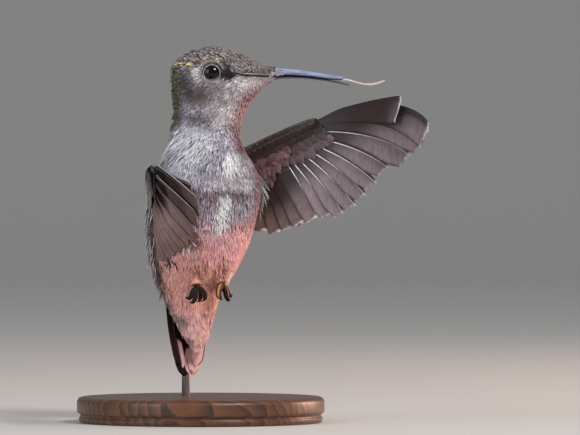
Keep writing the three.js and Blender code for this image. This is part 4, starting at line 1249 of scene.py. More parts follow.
# Rows of centre x, z, depth and width for each half of the bill, from under the feathers to the tip.
UPPER_BILL = [
    [12.1, 67.95, 2.1, 2.6], [14.2, 67.8, 1.64, 2.0], [17.7, 67.6, 1.35, 1.65], [21.2, 67.3, 1.15, 1.35],
    [24.4, 66.84, 1.0, 1.1], [26.9, 66.58, 0.8, 0.85], [27.6, 66.5, 0.4, 0.4]]
LOWER_BILL = [
    [12.1, 66.55, 1.0, 2.4], [15.5, 66.66, 0.56, 1.7], [19.2, 66.66, 0.4, 1.3], [22.5, 66.36, 0.38, 1.05],
    [25.2, 65.98, 0.38, 0.85], [27.2, 65.57, 0.36, 0.7], [28.7, 65.2, 0.26, 0.35]]
# The tongue's stem: x, z and radius.
TONGUE = [
    [27.2, 66.2, 0.18], [28.2, 66.25, 0.3], [29.3, 66.0, 0.26], [30.6, 65.65, 0.24], [32.0, 65.34, 0.22],
    [33.2, 65.4, 0.16]]
# The tongue's two ends: x, z and radius, then how far each stands to its side and up or down.
TONGUE_FORK = [
    [31.8, 65.36, 0.14, 0.08, 0.04], [33.2, 65.4, 0.14, 0.14, 0.09], [34.5, 65.72, 0.12, 0.16, 0.1],
    [35.6, 66.1, 0.07, 0.1, 0.04]]
NOSTRIL = {"x": 15.3, "half_length": 0.6, "turn": 1.0, "half_width": 0.2, "depth": 0.22}


def add_gape(c):
    """The black line of the mouth, which runs back from the bill over the cheek towards the eye, with a
    thin pale lip above it: two thin tubes half sunk in the plumage's surface."""
    stock = Stock()
    x = np.linspace(15.6, 7.0, 14)
    z = np.interp(x, [7.0, 9.0, 12.0, 15.6], [67.25, 67.0, MOUTH_Z, 66.86])
    thin_back = np.interp(x, [7.0, 9.0, 15.6], [0.3, 1.0, 1.0])
    lip = np.interp(x, [8.0, 8.8, 10.6, 11.6], [0.5, 1.0, 0.9, 0.1])
    lines = ((0.0, 0.17 * thin_back, c["bill_dark"] * 0.4), (0.3, 0.1 * thin_back * lip, c["lid"]))
    for side in (1, -1):
        bill_side = HEAD_PLANE + side * np.interp(x, [12, 14, 17], [1.5, 1.0, 0.8])
        for up, radius, tint in lines:
            t, turn = on_head(np.minimum(x, 13.7), z + up, side)
            y = np.where(x > 13.2, bill_side, body_point(t, turn)[:, 1])
            stock.shell(tube(np.stack([x, y, z + up, radius], 1), 10, 60), tint)
    stock.write("gape_line", "bill", "lid")


class HUMMINGBIRD_OT_bill(bpy.types.Operator):
    """The two halves of the bill with nostrils and the black line of the mouth, and the forked tongue"""

    bl_idname = "hummingbird.bill"
    bl_label = "Bill and Tongue"

    def execute(self, context):
        c = colours("parts")
        turn = circle(48)[None]
        off = np.abs(wrapped(turn))  # radians from the half's roof side
        for name, rows, roof in (("upper", UPPER_BILL, 1), ("lower", LOWER_BILL, -1)):
            x, middle, deep, wide = curve_through(rows, np.linspace(0, 1, 150)).T[..., None]
            up = roof * np.cos(turn)
            # the closing side is boxier than a circle, so the two halves lie edge to edge
            up = np.where(up * roof > 0, up, np.sign(up) * np.abs(up) ** 0.55)
            # the roof side is round with a low ridge, the side that closes is flatter with sharp edges
            ridge = 1 + 0.07 * np.exp(-((off / 0.28) ** 2))
            squash = np.where(up * roof > 0, ridge, 1.06)
            # only the upper half has nostrils, and a groove that runs forward from each
            groove = 0.05 * np.exp(-(((off - 0.85) / 0.16) ** 2)) * (x < 24)
            slit = np.exp(-(((x - NOSTRIL["x"]) / NOSTRIL["half_length"]) ** 4)
                          - ((off - NOSTRIL["turn"]) / NOSTRIL["half_width"]) ** 2)
            sunk = (NOSTRIL["depth"] * slit + groove) * (roof > 0)
            y, z = HEAD_PLANE + (wide / 2 - sunk) * np.sin(turn), middle + (deep / 2 * squash - sunk) * up
            grid = np.stack(np.broadcast_arrays(x, y, z), -1)
            # painted sheen: lighter slate on the upper half's top and, fainter, on the lower half's under
            # side
            lit = smooth(np.cos(turn), -0.55, 0.15) if roof > 0 else smooth(np.cos(turn), -0.2, 0.6) * 0.5
            shade = lerp(c["bill_dark"], c["bill"], np.broadcast_to(lit, z.shape)[..., None])
            # painted shade in the nostril's slit
            shade = lerp(shade, c["bill_dark"] * 0.5, slit[..., None] * 0.9 * (roof > 0))
            stock = Stock()
            stock.shell(grid, shade)
            stock.write("bill_%s_half" % name, "bill", "bill", "bill_" + name)
        add_gape(c)
        tongue = Stock()
        stem = [[x, HEAD_PLANE, z, r] for x, z, r in TONGUE]
        tongue.shell(tube(stem, 16, 70, lambda t, turn: 1 - 0.25 * np.cos(turn) ** 2), c["tongue"])
        for side in (1, -1):
            tip = [[x, HEAD_PLANE + side * apart, z + side * rise, r] for x, z, r, apart, rise in TONGUE_FORK]
            tongue.shell(tube(tip, 12, 40), c["tongue"])
        tongue.write("forked_tongue", "tongue", "tongue", "tongue")
        return {"FINISHED"}


# ---------- wings ----------
# Primaries from the innermost to the outermost: span and chord of the tip, how far the tip bends
# towards the bird's front, the bow of the shaft, and the widths of the leading and trailing webs.
PRIMARIES = np.array([
    [20.4, 16.9, 0, 0.3, 0.55, 2.4], [23.5, 17.3, 0, 0.4, 0.55, 2.5], [26.4, 16.6, 0, 0.5, 0.5, 2.55],
    [29.0, 15.3, 0, 0.6, 0.5, 2.65], [31.5, 13.5, 0, 0.7, 0.5, 2.8], [34.8, 11.4, -0.1, 0.9, 0.5, 3.1],
    [41.5, 10.7, -0.3, 1.6, 0.5, 3.9], [46.8, 9.1, -0.7, 2.4, 0.6, 4.0], [50.0, 8.4, -1.4, 3.4, 1.4, 4.0],
    [40.6, 0.4, -2.2, 0.9, 1.3, 3.9]])
# Tips of the right wing's primaries, which are folded closer: span and chord.
FOLDED_TIPS = np.array([[20.6, 14.4], [22.6, 14.2], [24.8, 13.8], [27.2, 13.1], [30, 12.1], [34, 10.4],
                        [39.5, 8.2], [43.5, 5.6], [45, 3], [42, 0.2]])
FOLDED_CHORD = 0.87  # how much of their chord the right wing's secondaries keep
FOLDED_STEP = 0.1  # how far each of its feathers lies below its neighbour
# Tips of the secondaries, from the outermost to the innermost: span and chord.
SECONDARY_TIPS = np.array([[17.3, 16.6], [14.5, 16.8], [12.2, 17.1], [9.6, 17.4], [6.6, 16.4], [4.2, 14.6]])
VANE_ROWS, VANE_COLUMNS = 48, 15
# Tiers of coverts on each face of the wing, from the greater to the marginal: feathers, how far their
# roots lie behind the leading edge, length at the wing's root and at its wrist, half width, and how far
# they stand off the arm.
COVERT_TIERS = [
    {"count": 32, "behind": 2.9, "long": (5.4, 6.0), "half": 0.85, "off": 0.0},
    {"count": 38, "behind": 2.1, "long": (3.8, 4.4), "half": 0.75, "off": 0.1},
    {"count": 40, "behind": 1.4, "long": (2.6, 3.0), "half": 0.65, "off": 0.18},
    {"count": 46, "behind": 0.8, "long": (2.0, 2.2), "half": 0.5, "off": 0.22},
    {"count": 56, "behind": 0.25, "long": (1.4, 1.4), "half": 0.38, "off": 0.22},
    {"count": 62, "behind": -0.12, "long": (1.0, 1.0), "half": 0.32, "off": 0.1},
]
DOWNINESS = (0.6, 0.35, 0.12, 0, 0, 0)  # how much each tier under the wing takes after the down
# Rows of down under the wing's root: feathers, spans of the first and the last, how far behind the leading
# edge they root, and length.
DOWN_ROWS = ((10, (1.5, 6.5), 5.6, 4.6), (13, (1.0, 8.0), 4.3, 4.0), (15, (1.0, 9.5), 3.0, 3.4))
COVERT_PATCH = 0.012  # side of a covert's patch on the baked map


def leading_edge(span):
    """Chord of the arm's leading edge: the middle of the arm less its half chord."""
    rows = np.array(ARM)
    return np.interp(span, rows[:, 0], rows[:, 1] - rows[:, 2])


def quill_colour(rows, columns, quills, inner, outer, rng):
    """Colours of flight feathers (feathers, rows, columns, 3): a dusky leading web, darkened as painted
    shadow of the next feather out, and a mauve trailing one; dark from the root to a third of the length, or
    two thirds on the outermost, for the feathers' dark bases and as painted shade; a pale line at the tip;
    and a dark line along the trailing edge, painted as the shadow of the gap beside it."""
    count = len(inner)
    v, u = vane_axes(rows, columns)
    vane = lerp(quills["vane"], quills["inner_vane"], each(inner, 3))
    vane = vane * np.exp(rng.normal(0, 0.06, (count, 1, 1, 1)))
    dark_to = np.interp(outer, [0, 0.6, 0.78, 0.89, 1.0], [0.6, 0.6, 0.68, 0.86, 1.1])
    dark_to = each(dark_to + 0.3 * smooth(inner, 0.3, 0.6))
    # the pale tip is longest and brightest on the outermost feathers, where it is a painted highlight, and
    # bright on the innermost one
    tip_from = each(lerp(0.972, 0.955, smooth(outer, 0.8, 0.9)))
    strength = each(lerp(0.6, 1.0, np.maximum(smooth(outer, 0.8, 0.9), smooth(0.02 - outer, 0, 0.01))))
    layers = [
        (vane * 1.1, smooth(-u, 0.05, 0.7)),
        # the leading web dusky, darkened as painted shadow of the next feather out
        (quills["lead"], smooth(u, 0.05, 0.3) * 0.9),
        # dark roots: the feathers' own dark bases, with painted shade
        (quills["root"], (1 - smooth(v, dark_to - 0.35, dark_to)) * 0.95),
        (quills["pale"], smooth(v, tip_from, tip_from + 0.012) * strength),
        # painted shadow: a dark line along the trailing edge
        (quills["root"], smooth(-u, 0.86, 0.93) * window(v, 0.3, 0.93, 0.06) * 0.85),
    ]
    return painted((count, rows, columns, 3), vane * 0.82, layers)


def smoky_colour(colour, quills, outer):
    """The upper face of the folded wing: an even brown-grey, palest in the middle of the vanes and darker to
    the tips. Painted shade makes its roots nearly black, farther down the vane the nearer it is to the
    leading edge, and the outermost feathers too all along, each of which has a painted highlight as a thin
    pale line on its leading edge."""
    v, u = vane_axes(*colour.shape[1:3])
    colour = lerp(colour, quills["smoky"], 0.85)
    colour = colour * (1 + 0.3 * window(v, 0.35, 0.62, 0.25) - 0.22 * smooth(v, 0.78, 1.0))[..., None]
    # painted shade over the outermost feathers
    dark = each(smooth(outer, 0.58, 0.85)) * (1 - smooth(v, 0.74, 0.98) * 0.6) * 0.92
    near = each(lerp(0.12, 0.62, outer))
    # painted shade over the roots
    dark = np.maximum(dark, each(smooth(outer, 0.0, 0.3)) * (1 - smooth(v, near, near + 0.26)))
    # painted highlight: a thin pale line on the outer feathers' leading edges
    line = smooth(u, 0.45, 0.75) * window(v, 0.3, 0.9, 0.2) * each(smooth(outer, 0.6, 0.8)) * 0.6
    line = np.maximum(line, each(outer > 0.95) * smooth(u, 0.3, 0.6) * smooth(v, 0.3, 0.5))
    return painted(colour.shape, colour, [(quills["root"] * 0.5, dark), (quills["pale"] * 0.8, line)])


def add_shafts(stock, place, root, tip, tint, width, **bent):
    """The shafts of some vanes: ridges that stand out of both faces, thin and tapering to the tip."""
    count = len(root)
    grids = lay_vanes(place, root, tip, width / 2, width / 2, thickness=0.3, narrow=1.0, point=0.35,
                      taper=0.0, rows=VANE_ROWS, columns=5, **bent)
    tint = np.broadcast_to(tint, (count, 3))
    stock.vanes(grids, tint, tint, strips(count, VANE_ROWS, 5))


def quill_sets(folded):
    """The primaries and the secondaries: name, solid, their feathers' roots and tips, how olive each one is,
    how far out it stands, its form and what bends it. A folded wing's lie flat on one another, each a step
    below the next one in or out."""
    outer, inner = np.linspace(0, 1, len(PRIMARIES)), np.linspace(0, 1, len(SECONDARY_TIPS))
    root = np.stack([lerp(8.9, 15.2, outer), lerp(1.4, -0.8 if folded else -1.9, outer)], 1)
    inner_root = np.stack([lerp(8.0, 2.6, inner), lerp(1.1, 1.9, inner)], 1)
    tips, inner_tips, (bend, bow, lead, trail) = PRIMARIES[:, :2], SECONDARY_TIPS, PRIMARIES[:, 2:].T
    bent, inner_bent = dict(bow=bow, bend=bend, power=2.5), dict(bow=0.3)
    if folded:
        tips, inner_tips = FOLDED_TIPS, SECONDARY_TIPS * np.array([1, FOLDED_CHORD])
        lead, trail = np.minimum(lead, 0.9), trail * lerp(1.5, 1.15, smooth(outer, 0.4, 0.9))
        bent["lift"] = -FOLDED_STEP * np.arange(len(outer))
        inner_bent["lift"] = FOLDED_STEP * np.arange(len(inner))
    form = dict(lead=lead, trail=trail, point=lerp(0.75, 0.95, smooth(outer, 0.7, 0.9)), narrow=0.24,
                round_from=0.982, open_at=1.0, slant=lerp(0.5, 1.3, smooth(outer, 0.1, 0.4)))
    inner_form = dict(lead=0.9, trail=np.where(inner == 1, 1.9, 2.7), point=0.9, round_from=0.95)
    yield "primaries", "hand", root, tips, 0 * outer, outer, form, bent
    yield "secondaries", "arm", inner_root, inner_tips, 0.45 + 0.55 * inner, 0 * inner, inner_form, inner_bent


def add_quills(name, wing, row, shafts, quills, rng):
    """One set of a wing's flight feathers, written as a piece, and its shafts, added to the wing's others."""
    word, solid, root, tip, olive, outer, form, bent = row
    folded = name == "right"
    sizes = settings("sizes")
    sheet = partial(wing_point, wing)
    grids = lay_vanes(sheet, root, tip, lean=0.0 if folded else 0.1, thickness=sizes.vane_thickness / MM,
                      ragged=0.01, rows=VANE_ROWS, columns=VANE_COLUMNS, rng=rng, **form, **bent)
    colour = quill_colour(VANE_ROWS, VANE_COLUMNS, quills, olive, outer, rng)
    line = lerp(quills["pale"], quills["lead"] * 1.8, each(smooth(outer, 0.62, 0.75), 1))
    if folded:
        colour = smoky_colour(colour, quills, outer)
        line = quills["smoky"] * lerp(0.95, 0.5, each(smooth(outer, 0.5, 0.7), 1))
        # painted highlight: the outermost shaft pale
        line = lerp(line, quills["pale"], each(outer > 0.95, 1))
    stock = Stock()
    stock.vanes(grids, colour, colour, strips(len(root), VANE_ROWS, VANE_COLUMNS))
    stock.write("wing_%s_%s" % (name, word), "wing_feathers", "smoky" if folded else "quill",
                "wing_%s_%s" % (name, solid))
    add_shafts(shafts, sheet, root, tip, line, sizes.quill_shaft / MM, **bent)


def add_coverts(name, wing, face, quills, rng):
    """Six tiers of small feathers over the arm on one face, fanned from down the chord to out along the
    span, each tier lying over the roots of the next, and soft lobes of down under the wing's root."""
    stock, plumage = Stock(), colours("plumage")

    def place(span, chord, rise):
        """A little off the arm's own face."""
        return wing_point(wing, span, chord, face * (arm_height(span, chord) * 0.97 + 0.1 + rise))

    for count, spans, behind, long in DOWN_ROWS if face < 0 else ():
        share = np.linspace(0, 1, count)
        span = lerp(*spans, share)
        root = np.stack([span, leading_edge(span) + behind], 1)
        fan = np.radians(lerp(104, 52, share) + rng.normal(0, 12, count))
        tip = root + steps(long * rng.uniform(0.75, 1.15, count), fan)
        grids = lay_vanes(place, root, tip, 0.9, 1.0, lift=0.15, bend=0.6, point=0.7, taper=0.5,
                          round_from=0.5, narrow=0.7, ragged=0.08, thickness=0.06, camber=0.12, rows=9,
                          columns=7, rng=rng)
        tint = quills["down"] * tones(rng, 0.22, count)
        at = (0.1 + 0.8 * share, np.full(count, 0.05 + 0.01 * behind))
        stock.vanes(grids, tint, tint * 1.15, patches(*at, 9, 7, COVERT_PATCH))
    for level, tier in enumerate(COVERT_TIERS):
        count = tier["count"]
        outer = np.linspace(0, 1, count) + rng.normal(0, 0.006, count)
        span = lerp(0.6, 15.6, outer)
        root = np.stack([span, leading_edge(span) + tier["behind"] * lerp(1.15, 0.8, outer)], 1)
        fan = np.radians(lerp(98, 26, np.clip(outer, 0, 1) ** 1.1) + rng.normal(0, 4, count))
        tip = root + steps(lerp(*tier["long"], outer) * (1 + rng.normal(0, 0.08, count)), fan)
        grids = lay_vanes(place, root, tip, tier["half"] * 0.9, tier["half"] * 1.1, lift=tier["off"],
                          bend=0.22, lean=0.05, point=0.9, taper=0.7, round_from=0.62, narrow=0.7,
                          ragged=0.03, thickness=0.06, camber=0.06, rows=9, columns=5, rng=rng)
        tone = tones(rng, 0.16, count)
        near_edge = level / (len(COVERT_TIERS) - 1)
        if face > 0:
            tint = lerp(quills["inner_vane"], plumage["mantle"], 0.35 + 0.65 * near_edge)
            rim = lerp(tint * 1.4, plumage["mantle_edge"], 0.4 + 0.6 * near_edge)
        else:
            # the longest ones are as pale as the down towards the body and as the vanes farther out
            tint = lerp(quills["down"], quills["vane"] * 0.8, each(smooth(outer, 0.35, 0.9), 1))
            tint = lerp(quills["lining"], tint, DOWNINESS[level])
            marginal = float(smooth(near_edge, 0.7, 1.0))
            rim = lerp(tint * 1.05, plumage["mantle_edge"], marginal)
            tint = lerp(tint, plumage["crown"], marginal)
        if wing is WINGS["right"]:
            # the closed wing's wrist, in the shade of its own feathers' bases
            wrist = each(smooth(outer, 0.5, 0.8), 1)
            tint, rim = (lerp(shade, quills["root"] * 0.3, wrist) for shade in (tint, rim))
        at = (0.08 + 0.84 * outer, np.full(count, 0.15 + 0.14 * level))
        tint, rim = (np.broadcast_to(shade * tone, (count, 3)) for shade in (tint, rim))
        stock.vanes(grids, tint, rim, patches(*at, 9, 5, COVERT_PATCH))
    stock.write(name, "wing_feathers", "crown" if face > 0 else "throat")


class HUMMINGBIRD_OT_wings(bpy.types.Operator):
    """Both wings: ten primaries and six secondaries with their shafts, and tiers of coverts on both faces"""

    bl_idname = "hummingbird.wings"
    bl_label = "Wings"

    def execute(self, context):
        for number, (name, wing) in enumerate(WINGS.items()):
            rng, quills = draws(200 + number), colours("quills")
            shafts = Stock()
            for row in quill_sets(name == "right"):
                add_quills(name, wing, row, shafts, quills, rng)
            shafts.write("wing_%s_shafts" % name, "wing_feathers", "shaft")
            for face, word in ((1, "upper"), (-1, "under")):
                add_coverts("wing_%s_%s_coverts" % (name, word), wing, face, quills, rng)
        return {"FINISHED"}


# ---------- tail ----------
# Tail feathers from the middle pair to the outer pair: lateral place of the root and of the tip, length,
# half width, and height in the stack.
RECTRICES = np.array([
    [0.6, 0.5, 16.8, 1.3, 0.75], [1.2, 0.8, 17.4, 1.4, 0.45], [1.9, 1.2, 18.2, 1.45, 0.15],
    [2.6, 1.6, 17.8, 1.35, -0.15], [3.2, 2.2, 16.4, 1.15, -0.45]])
LEFT_HALF_IN = 1.3  # how far the tips of the left half close over the middle


class HUMMINGBIRD_OT_tail(bpy.types.Operator):
    """The ten tail feathers, closed into a stack, the outer ones with pale tips"""

    bl_idname = "hummingbird.tail"
    bl_label = "Tail"

    def execute(self, context):
        quills, rng = colours("quills"), draws(300)
        stock, shafts = Stock(), Stock()
        v, u = vane_axes(VANE_ROWS, VANE_COLUMNS)
        for left in (False, True):
            side = 1 if left else -1
            root_at, tip_at, long, half, height = RECTRICES.T
            count = len(RECTRICES)
            if left:
                tip_at, half, height = tip_at - LEFT_HALF_IN, half * 1.15, height - 0.3
            root, tip = np.stack([root_at, 0 * long], 1), np.stack([tip_at, long], 1)
            place = lambda a, b, rise, side=side: tail_point(side * a, b, rise)
            bow = 0.2 + 0.14 * np.arange(count)
            grids = lay_vanes(place, root, tip, half, half * 1.05, bow=bow, lean=0.1, lift=height, point=0.8,
                              narrow=0.6, taper=0.86, round_from=0.88, thickness=0.14, ragged=0.01,
                              rows=VANE_ROWS, columns=VANE_COLUMNS, rng=rng)
            outer = each(np.arange(count) / (count - 1))
            base = quills["rectrix"] * (0.85 + 0.4 * rng.random((count, 1, 1, 1)))
            # the pale tip has a slanting border; on the left it is on all pairs but the middle one, save a
            # dark strip along the outermost one's leading edge that is painted shadow of the feather over it;
            # on the right, which lies under the left, it is only on the outermost, whose leading web stays
            # dark
            border = 0.68 - 0.03 * outer - 0.05 * u
            dark = smooth(u, 0.7, 0.9) * (outer == 1) if left else smooth(u, -0.4, -0.2)
            pale = smooth(v, border, border + 0.03) * (1 - dark)
            pale = pale * (smooth(outer, 0.0, 0.25) if left else smooth(outer, 0.75, 1.0))
            barred = quills["tail_tip"] * (0.94 + 0.12 * np.cos(9 * u) ** 2)[..., None]
            colour = painted((count, VANE_ROWS, VANE_COLUMNS, 3), base, [(barred, pale)])
            bake = strips(count, VANE_ROWS, VANE_COLUMNS) * [0.5, 1] + [0.25 * (side + 1), 0]
            stock.vanes(grids, colour, colour, bake)
            line = quills["tail_tip"] * 0.9 if left else quills["rectrix"] * 0.7
            add_shafts(shafts, place, root, tip, line, 0.16, bow=bow, lift=height)
        stock.write("tail_feathers", "tail_feathers", "rectrix", "tail")
        shafts.write("tail_shafts", "tail_feathers", "shaft")
        return {"FINISHED"}


# ---------- feet ----------
# Toes of the right foot, clenched: the outer, middle and inner front toe, then the hind one. Each is a row of
# joints from the ankle to the claw's tip: sideways, up, away from the body, and radius.
TOES = [
    [[0, -1.0, 8.35, 0.46], [-0.75, -1.75, 8.7, 0.46], [-1.1, -2.6, 8.9, 0.42], [-1.75, -3.05, 8.9, 0.3],
     [-2.25, -2.6, 8.8, 0.04]],
    [[0, -1.1, 8.4, 0.46], [-0.25, -2.1, 8.95, 0.46], [-0.35, -3.1, 9.15, 0.42], [-0.95, -3.85, 9.1, 0.3],
     [-1.6, -3.65, 9.0, 0.04]],
    [[0.1, -1.0, 8.35, 0.46], [1.0, -1.45, 8.7, 0.46], [1.6, -2.3, 8.9, 0.42], [1.45, -3.3, 8.9, 0.3],
     [0.85, -3.75, 8.8, 0.04]],
    [[0.05, -1.1, 8.3, 0.44], [0.6, -2.0, 8.25, 0.42], [0.75, -2.9, 8.3, 0.36], [0.45, -3.6, 8.4, 0.26],
     [0, -3.75, 8.5, 0.04]],
]
TOE_GIRTH = 1.16  # the toes' girth against the rows' radii
SCUTES = 12  # scales along a toe
SHANK_STRANDS = 620
SHANK_SIDES, SHANK_RINGS = 48, 80


def add_tufts():
    """The shanks' feathers: short downy strands down the shank, shortest at the ankle."""
    stock, vent = Stock(), colours("plumage")["vent"]
    count, last = SHANK_STRANDS, SHANK_RINGS - 1
    for number, leg in enumerate(LEGS.values()):
        rng = draws(400 + number)
        grid = tube(shank_rows(leg, -0.4), SHANK_SIDES, SHANK_RINGS)
        line = grid.mean(axis=1)
        ring, side = rng.integers(8, 74, count), rng.integers(0, SHANK_SIDES, count)
        down = 24 - (12 * smooth(ring, 44, 76)).astype(int)

        def place(a, b, rise):
            """Between the tube's rings and sides, with rise away from its middle line."""
            r = np.clip(each(ring) + a * each(down), 0, last)
            s = (each(side) + b * 3.2) % SHANK_SIDES
            low, shift = np.floor(r).astype(int), (r - np.floor(r))[..., None]
            left, turn = np.floor(s).astype(int) % SHANK_SIDES, (s - np.floor(s))[..., None]
            high, right = np.minimum(low + 1, last), (left + 1) % SHANK_SIDES
            point = lerp(lerp(grid[low, left], grid[high, left], shift),
                         lerp(grid[low, right], grid[high, right], shift), turn)
            out = point - lerp(line[low], line[high], shift)
            return point + out / np.linalg.norm(out, axis=-1, keepdims=True) * rise[..., None]

        tip = np.stack([rng.uniform(0.8, 1.2, count), rng.normal(0, 0.15, count)], 1)
        grids = lay_vanes(place, np.zeros((count, 2)), tip, 0.3, 0.3, bend=0.42, point=0.3, taper=0.4,
                          round_from=0.6, thickness=0.05, rows=7, columns=3)
        tint = np.clip(vent * tones(rng, 0.15, count), 0, 1)
        bake = patches((side / SHANK_SIDES + number) / 2, ring / SHANK_RINGS, 7, 3)
        stock.vanes(grids, tint, tint, bake)
    stock.write("shank_tufts", "breast_feathers", "down")


class HUMMINGBIRD_OT_feet(bpy.types.Operator):
    """The feet: clenched toes ringed with scales, each ending in a hooked claw"""

    bl_idname = "hummingbird.feet"
    bl_label = "Feet"

    def execute(self, context):
        c = colours("parts")

        def scaled(t, turn):
            """Scales ring the toe as far as the claw, which is slimmer, smooth and flat-sided."""
            scales, claw = 1 + 0.09 * np.abs(np.sin(SCUTES * math.pi * t)), 0.82 - 0.14 * np.cos(2 * turn)
            return lerp(scales, claw, smooth(t, 0.7, 0.75))

        for name, leg in LEGS.items():
            stock = Stock()
            ankle = ((7.8, -0.1, 0.46), (8.15, -0.62, 0.44), (8.25, -0.9, 0.46), (8.35, -1.3, 0.52))
            ankle = [[*leg_point(leg, away, 0, up), radius] for away, up, radius in ankle]
            stock.shell(tube(ankle, 14, 40, lambda t, turn: 1 + 0.08 * np.abs(np.sin(9 * t))), c["toe"])
            for joints in TOES:
                sideways, up, away, radius = np.array(joints).T
                mirror = -1 if name == "left" else 1
                toe = np.hstack([leg_point(leg, away, mirror * sideways, up), TOE_GIRTH * radius[:, None]])
                # the toe's sides carry a painted warm rim light, between the dark scales of its top and the
                # pads of its sole
                t, turn = grid_of(np.linspace(0, 1, 90), circle(18))
                toe_light_mask = smooth(np.abs(np.cos(turn)), 0.88, 0.98) * window(t, 0.1, 0.85, 0.08)
                toe_light_mask = toe_light_mask * (0.6 + 0.4 * np.abs(np.sin(SCUTES * math.pi * t)))
                stock.shell(tube(toe, 18, 90, scaled), lerp(c["toe"], c["toe_edge"], toe_light_mask[..., None]))
            stock.write("toes_" + name, "foot", "toe", "foot_" + name)
        add_tufts()
        return {"FINISHED"}




# ---------- stand and studio ----------
SHOULDER = 1.1  # radius of the base's rounded upper edge


def turned(profile, sides):
    """A grid of rings: a profile's rows of radius and height, swept round Z."""
    radius, height, turn = profile[:, :1], profile[:, 1:], circle(sides)
    return np.stack(np.broadcast_arrays(radius * np.cos(turn), radius * np.sin(turn), height), -1)


class HUMMINGBIRD_OT_stand(bpy.types.Operator):
    """The stand: a turned round base of walnut and a thin steel rod up into the bird's back"""

    bl_idname = "hummingbird.stand"
    bl_label = "Display Stand"

    def execute(self, context):
        low, high = (np.array(corner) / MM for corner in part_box("stand_base"))
        radius, top = (high[0] - low[0]) / 2, high[2]
        # the turned edge: a foot, a shallow cove and a round shoulder, as points of radius and height
        half_turn, quarter = np.linspace(0, math.pi, 9), np.linspace(0, math.pi / 2, 12)
        profile = np.concatenate([
            [[0.02, 0.0], [radius - 1.2, 0.0], [radius - 0.7, 0.05], [radius - 0.4, 0.35]],
            [[radius - 0.4, 0.9]],
            np.stack([radius - 0.4 - 0.25 * np.sin(half_turn), np.linspace(1.0, 1.8, 9)], 1),
            [[radius - 0.05, 2.0], [radius, 2.3]],
            np.stack([radius - SHOULDER * (1 - np.cos(quarter)), top - SHOULDER * (1 - np.sin(quarter))], 1),
            [[radius * 0.5, top], [0.02, top]],
        ])
        base = Stock()
        base.shell(turned(profile, 160))
        base.write("turned_base", "stand_wood", "walnut", "stand_base")
        low, high = (np.array(corner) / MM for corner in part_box("stand_rod"))
        thick, foot, end = (high[0] - low[0]) / 2, low[2], high[2]
        profile = np.array([[0.01, foot], [thick - 0.1, foot], [thick, foot + 0.1], [thick, end - 0.3],
                            [thick - 0.3, end], [0.01, end]])
        rod = Stock()
        rod.shell(turned(profile, 40) + (low + high) / 2 * np.array([1, 1, 0]))
        rod.write("steel_rod", "stand_steel", "steel", "stand_rod")
        return {"FINISHED"}


CAMERA_PLACE = (17.3, -1008.0, 39.7)
LENS, SENSOR = 322.8, 36.0  # millimetres
BIRD_MIDDLE = 45  # height that the lamps aim at
FLOOR_RADIUS, FLOOR_SWEEP, FLOOR_WALL = 2400.0, 900.0, 1500.0  # flat part, sweep's radius, wall's height
# Soft boxes: where each stands from the bird and its side, in millimetres, its power and its warmth.
SOFT_BOXES = {
    "key": {"at": (430, -620, 640), "side": 240, "watts": 5.2, "tint": "fffaf4"},
    "fill": {"at": (-620, -560, 300), "side": 500, "watts": 2.6, "tint": "e6ecff"},
    "rim": {"at": (560, 300, 120), "side": 260, "watts": 3.0, "tint": "ffcdb4"},
}


def add_lights(context):
    """A pale even sky and the soft boxes, each turned towards the bird."""
    world = bpy.data.worlds.new("Studio")
    context.scene.world = world
    world.use_nodes = True
    sky = world.node_tree.nodes["Background"]
    sky.inputs["Color"].default_value = (0.93, 0.95, 1.0, 1.0)
    sky.inputs["Strength"].default_value = 0.36
    for name, box in SOFT_BOXES.items():
        lamp = bpy.data.lights.new(name, "AREA")
        lamp.size, lamp.energy, lamp.color = box["side"] * MM, box["watts"], linear(box["tint"])
        made = bpy.data.objects.new(name, lamp)
        context.scene.collection.objects.link(made)
        made.location = np.array(box["at"]) * MM
        aim = np.array([0, 0, BIRD_MIDDLE]) - np.array(box["at"])
        pitch = math.atan2(math.hypot(aim[0], aim[1]), -aim[2])
        made.rotation_euler = (pitch, 0, math.atan2(-aim[0], aim[1]))


def add_camera(context):
    """A long lens a metre away, level, looking along +Y."""
    camera = bpy.data.cameras.new("camera")
    camera.lens, camera.sensor_width = LENS, SENSOR
    camera.clip_start, camera.clip_end = 0.05, 20
    made = bpy.data.objects.new("camera", camera)
    context.scene.collection.objects.link(made)
    made.location = np.array(CAMERA_PLACE) * MM
    made.rotation_euler = (math.pi / 2, 0, 0)
    context.scene.camera = made
    context.scene.view_settings.view_transform = "Standard"


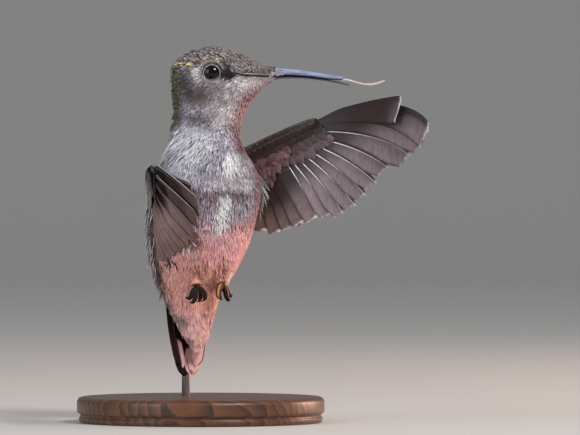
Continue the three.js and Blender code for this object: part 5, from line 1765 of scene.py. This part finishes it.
class HUMMINGBIRD_OT_studio(bpy.types.Operator):
    """A plain pale floor that sweeps up all round, soft boxes, and the camera"""

    bl_idname = "hummingbird.studio"
    bl_label = "Studio"

    def execute(self, context):
        # a dish: flat at first, then a quarter circle up to a low wall
        quarter = np.linspace(0, math.pi / 2, 24)[1:]
        flat = np.linspace(0.001, FLOOR_RADIUS, 30)
        grid = turned(np.concatenate([
            np.stack([flat, 0 * flat], 1),
            np.stack([FLOOR_RADIUS + FLOOR_SWEEP * np.sin(quarter), FLOOR_SWEEP * (1 - np.cos(quarter))], 1),
            [[FLOOR_RADIUS + FLOOR_SWEEP, FLOOR_WALL]],
        ]), 96) * MM
        mesh = bpy.data.meshes.new("studio_floor")
        mesh.from_pydata(grid.reshape(-1, 3), [], grid_faces(*grid.shape[:2])[0].tolist())
        mesh.polygons.foreach_set("use_smooth", np.ones(len(mesh.polygons), bool))
        mesh.materials.append(FINISHES["paper"])
        floor = bpy.data.objects.new("studio_floor", mesh)
        context.scene.collection.objects.link(floor)
        floor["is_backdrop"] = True
        add_lights(context)
        add_camera(context)
        return {"FINISHED"}


STEPS = (HUMMINGBIRD_OT_skin, HUMMINGBIRD_OT_coats, HUMMINGBIRD_OT_eyes, HUMMINGBIRD_OT_bill,
         HUMMINGBIRD_OT_wings, HUMMINGBIRD_OT_tail, HUMMINGBIRD_OT_feet, HUMMINGBIRD_OT_stand,
         HUMMINGBIRD_OT_studio)


class HUMMINGBIRD_PT_build(bpy.types.Panel):
    """Sizes, colours and the steps that build the bird"""

    bl_idname = "HUMMINGBIRD_PT_build"
    bl_label = "Hovering Hummingbird"
    bl_space_type = "VIEW_3D"
    bl_region_type = "UI"
    bl_category = "Hummingbird"

    def draw(self, context):
        layout = self.layout
        for group, kind in GROUPS.items():
            column = layout.box().column()
            column.label(text=group.title())
            for key in kind.__annotations__:
                column.prop(settings(group), key)
        for step in STEPS:
            layout.operator(step.bl_idname)


CLASSES = (*GROUPS.values(), *STEPS, HUMMINGBIRD_PT_build)


def register():
    for kind in CLASSES:
        bpy.utils.register_class(kind)
    for group, kind in GROUPS.items():
        setattr(bpy.types.Scene, "hummingbird_" + group, PointerProperty(type=kind))


def unregister():
    for group in GROUPS:
        delattr(bpy.types.Scene, "hummingbird_" + group)
    for kind in reversed(CLASSES):
        bpy.utils.unregister_class(kind)


def main():
    """Builds every piece in order."""
    register()
    make_finishes()
    for step in STEPS:
        family, name = step.bl_idname.split(".")
        getattr(getattr(bpy.ops, family), name)()
    boxes = {"cad": CAD_BOX, "visual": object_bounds()}
    {key: [list(corner) for corner in box] for key, box in boxes.items()}


if __name__ == "__main__":
    main()
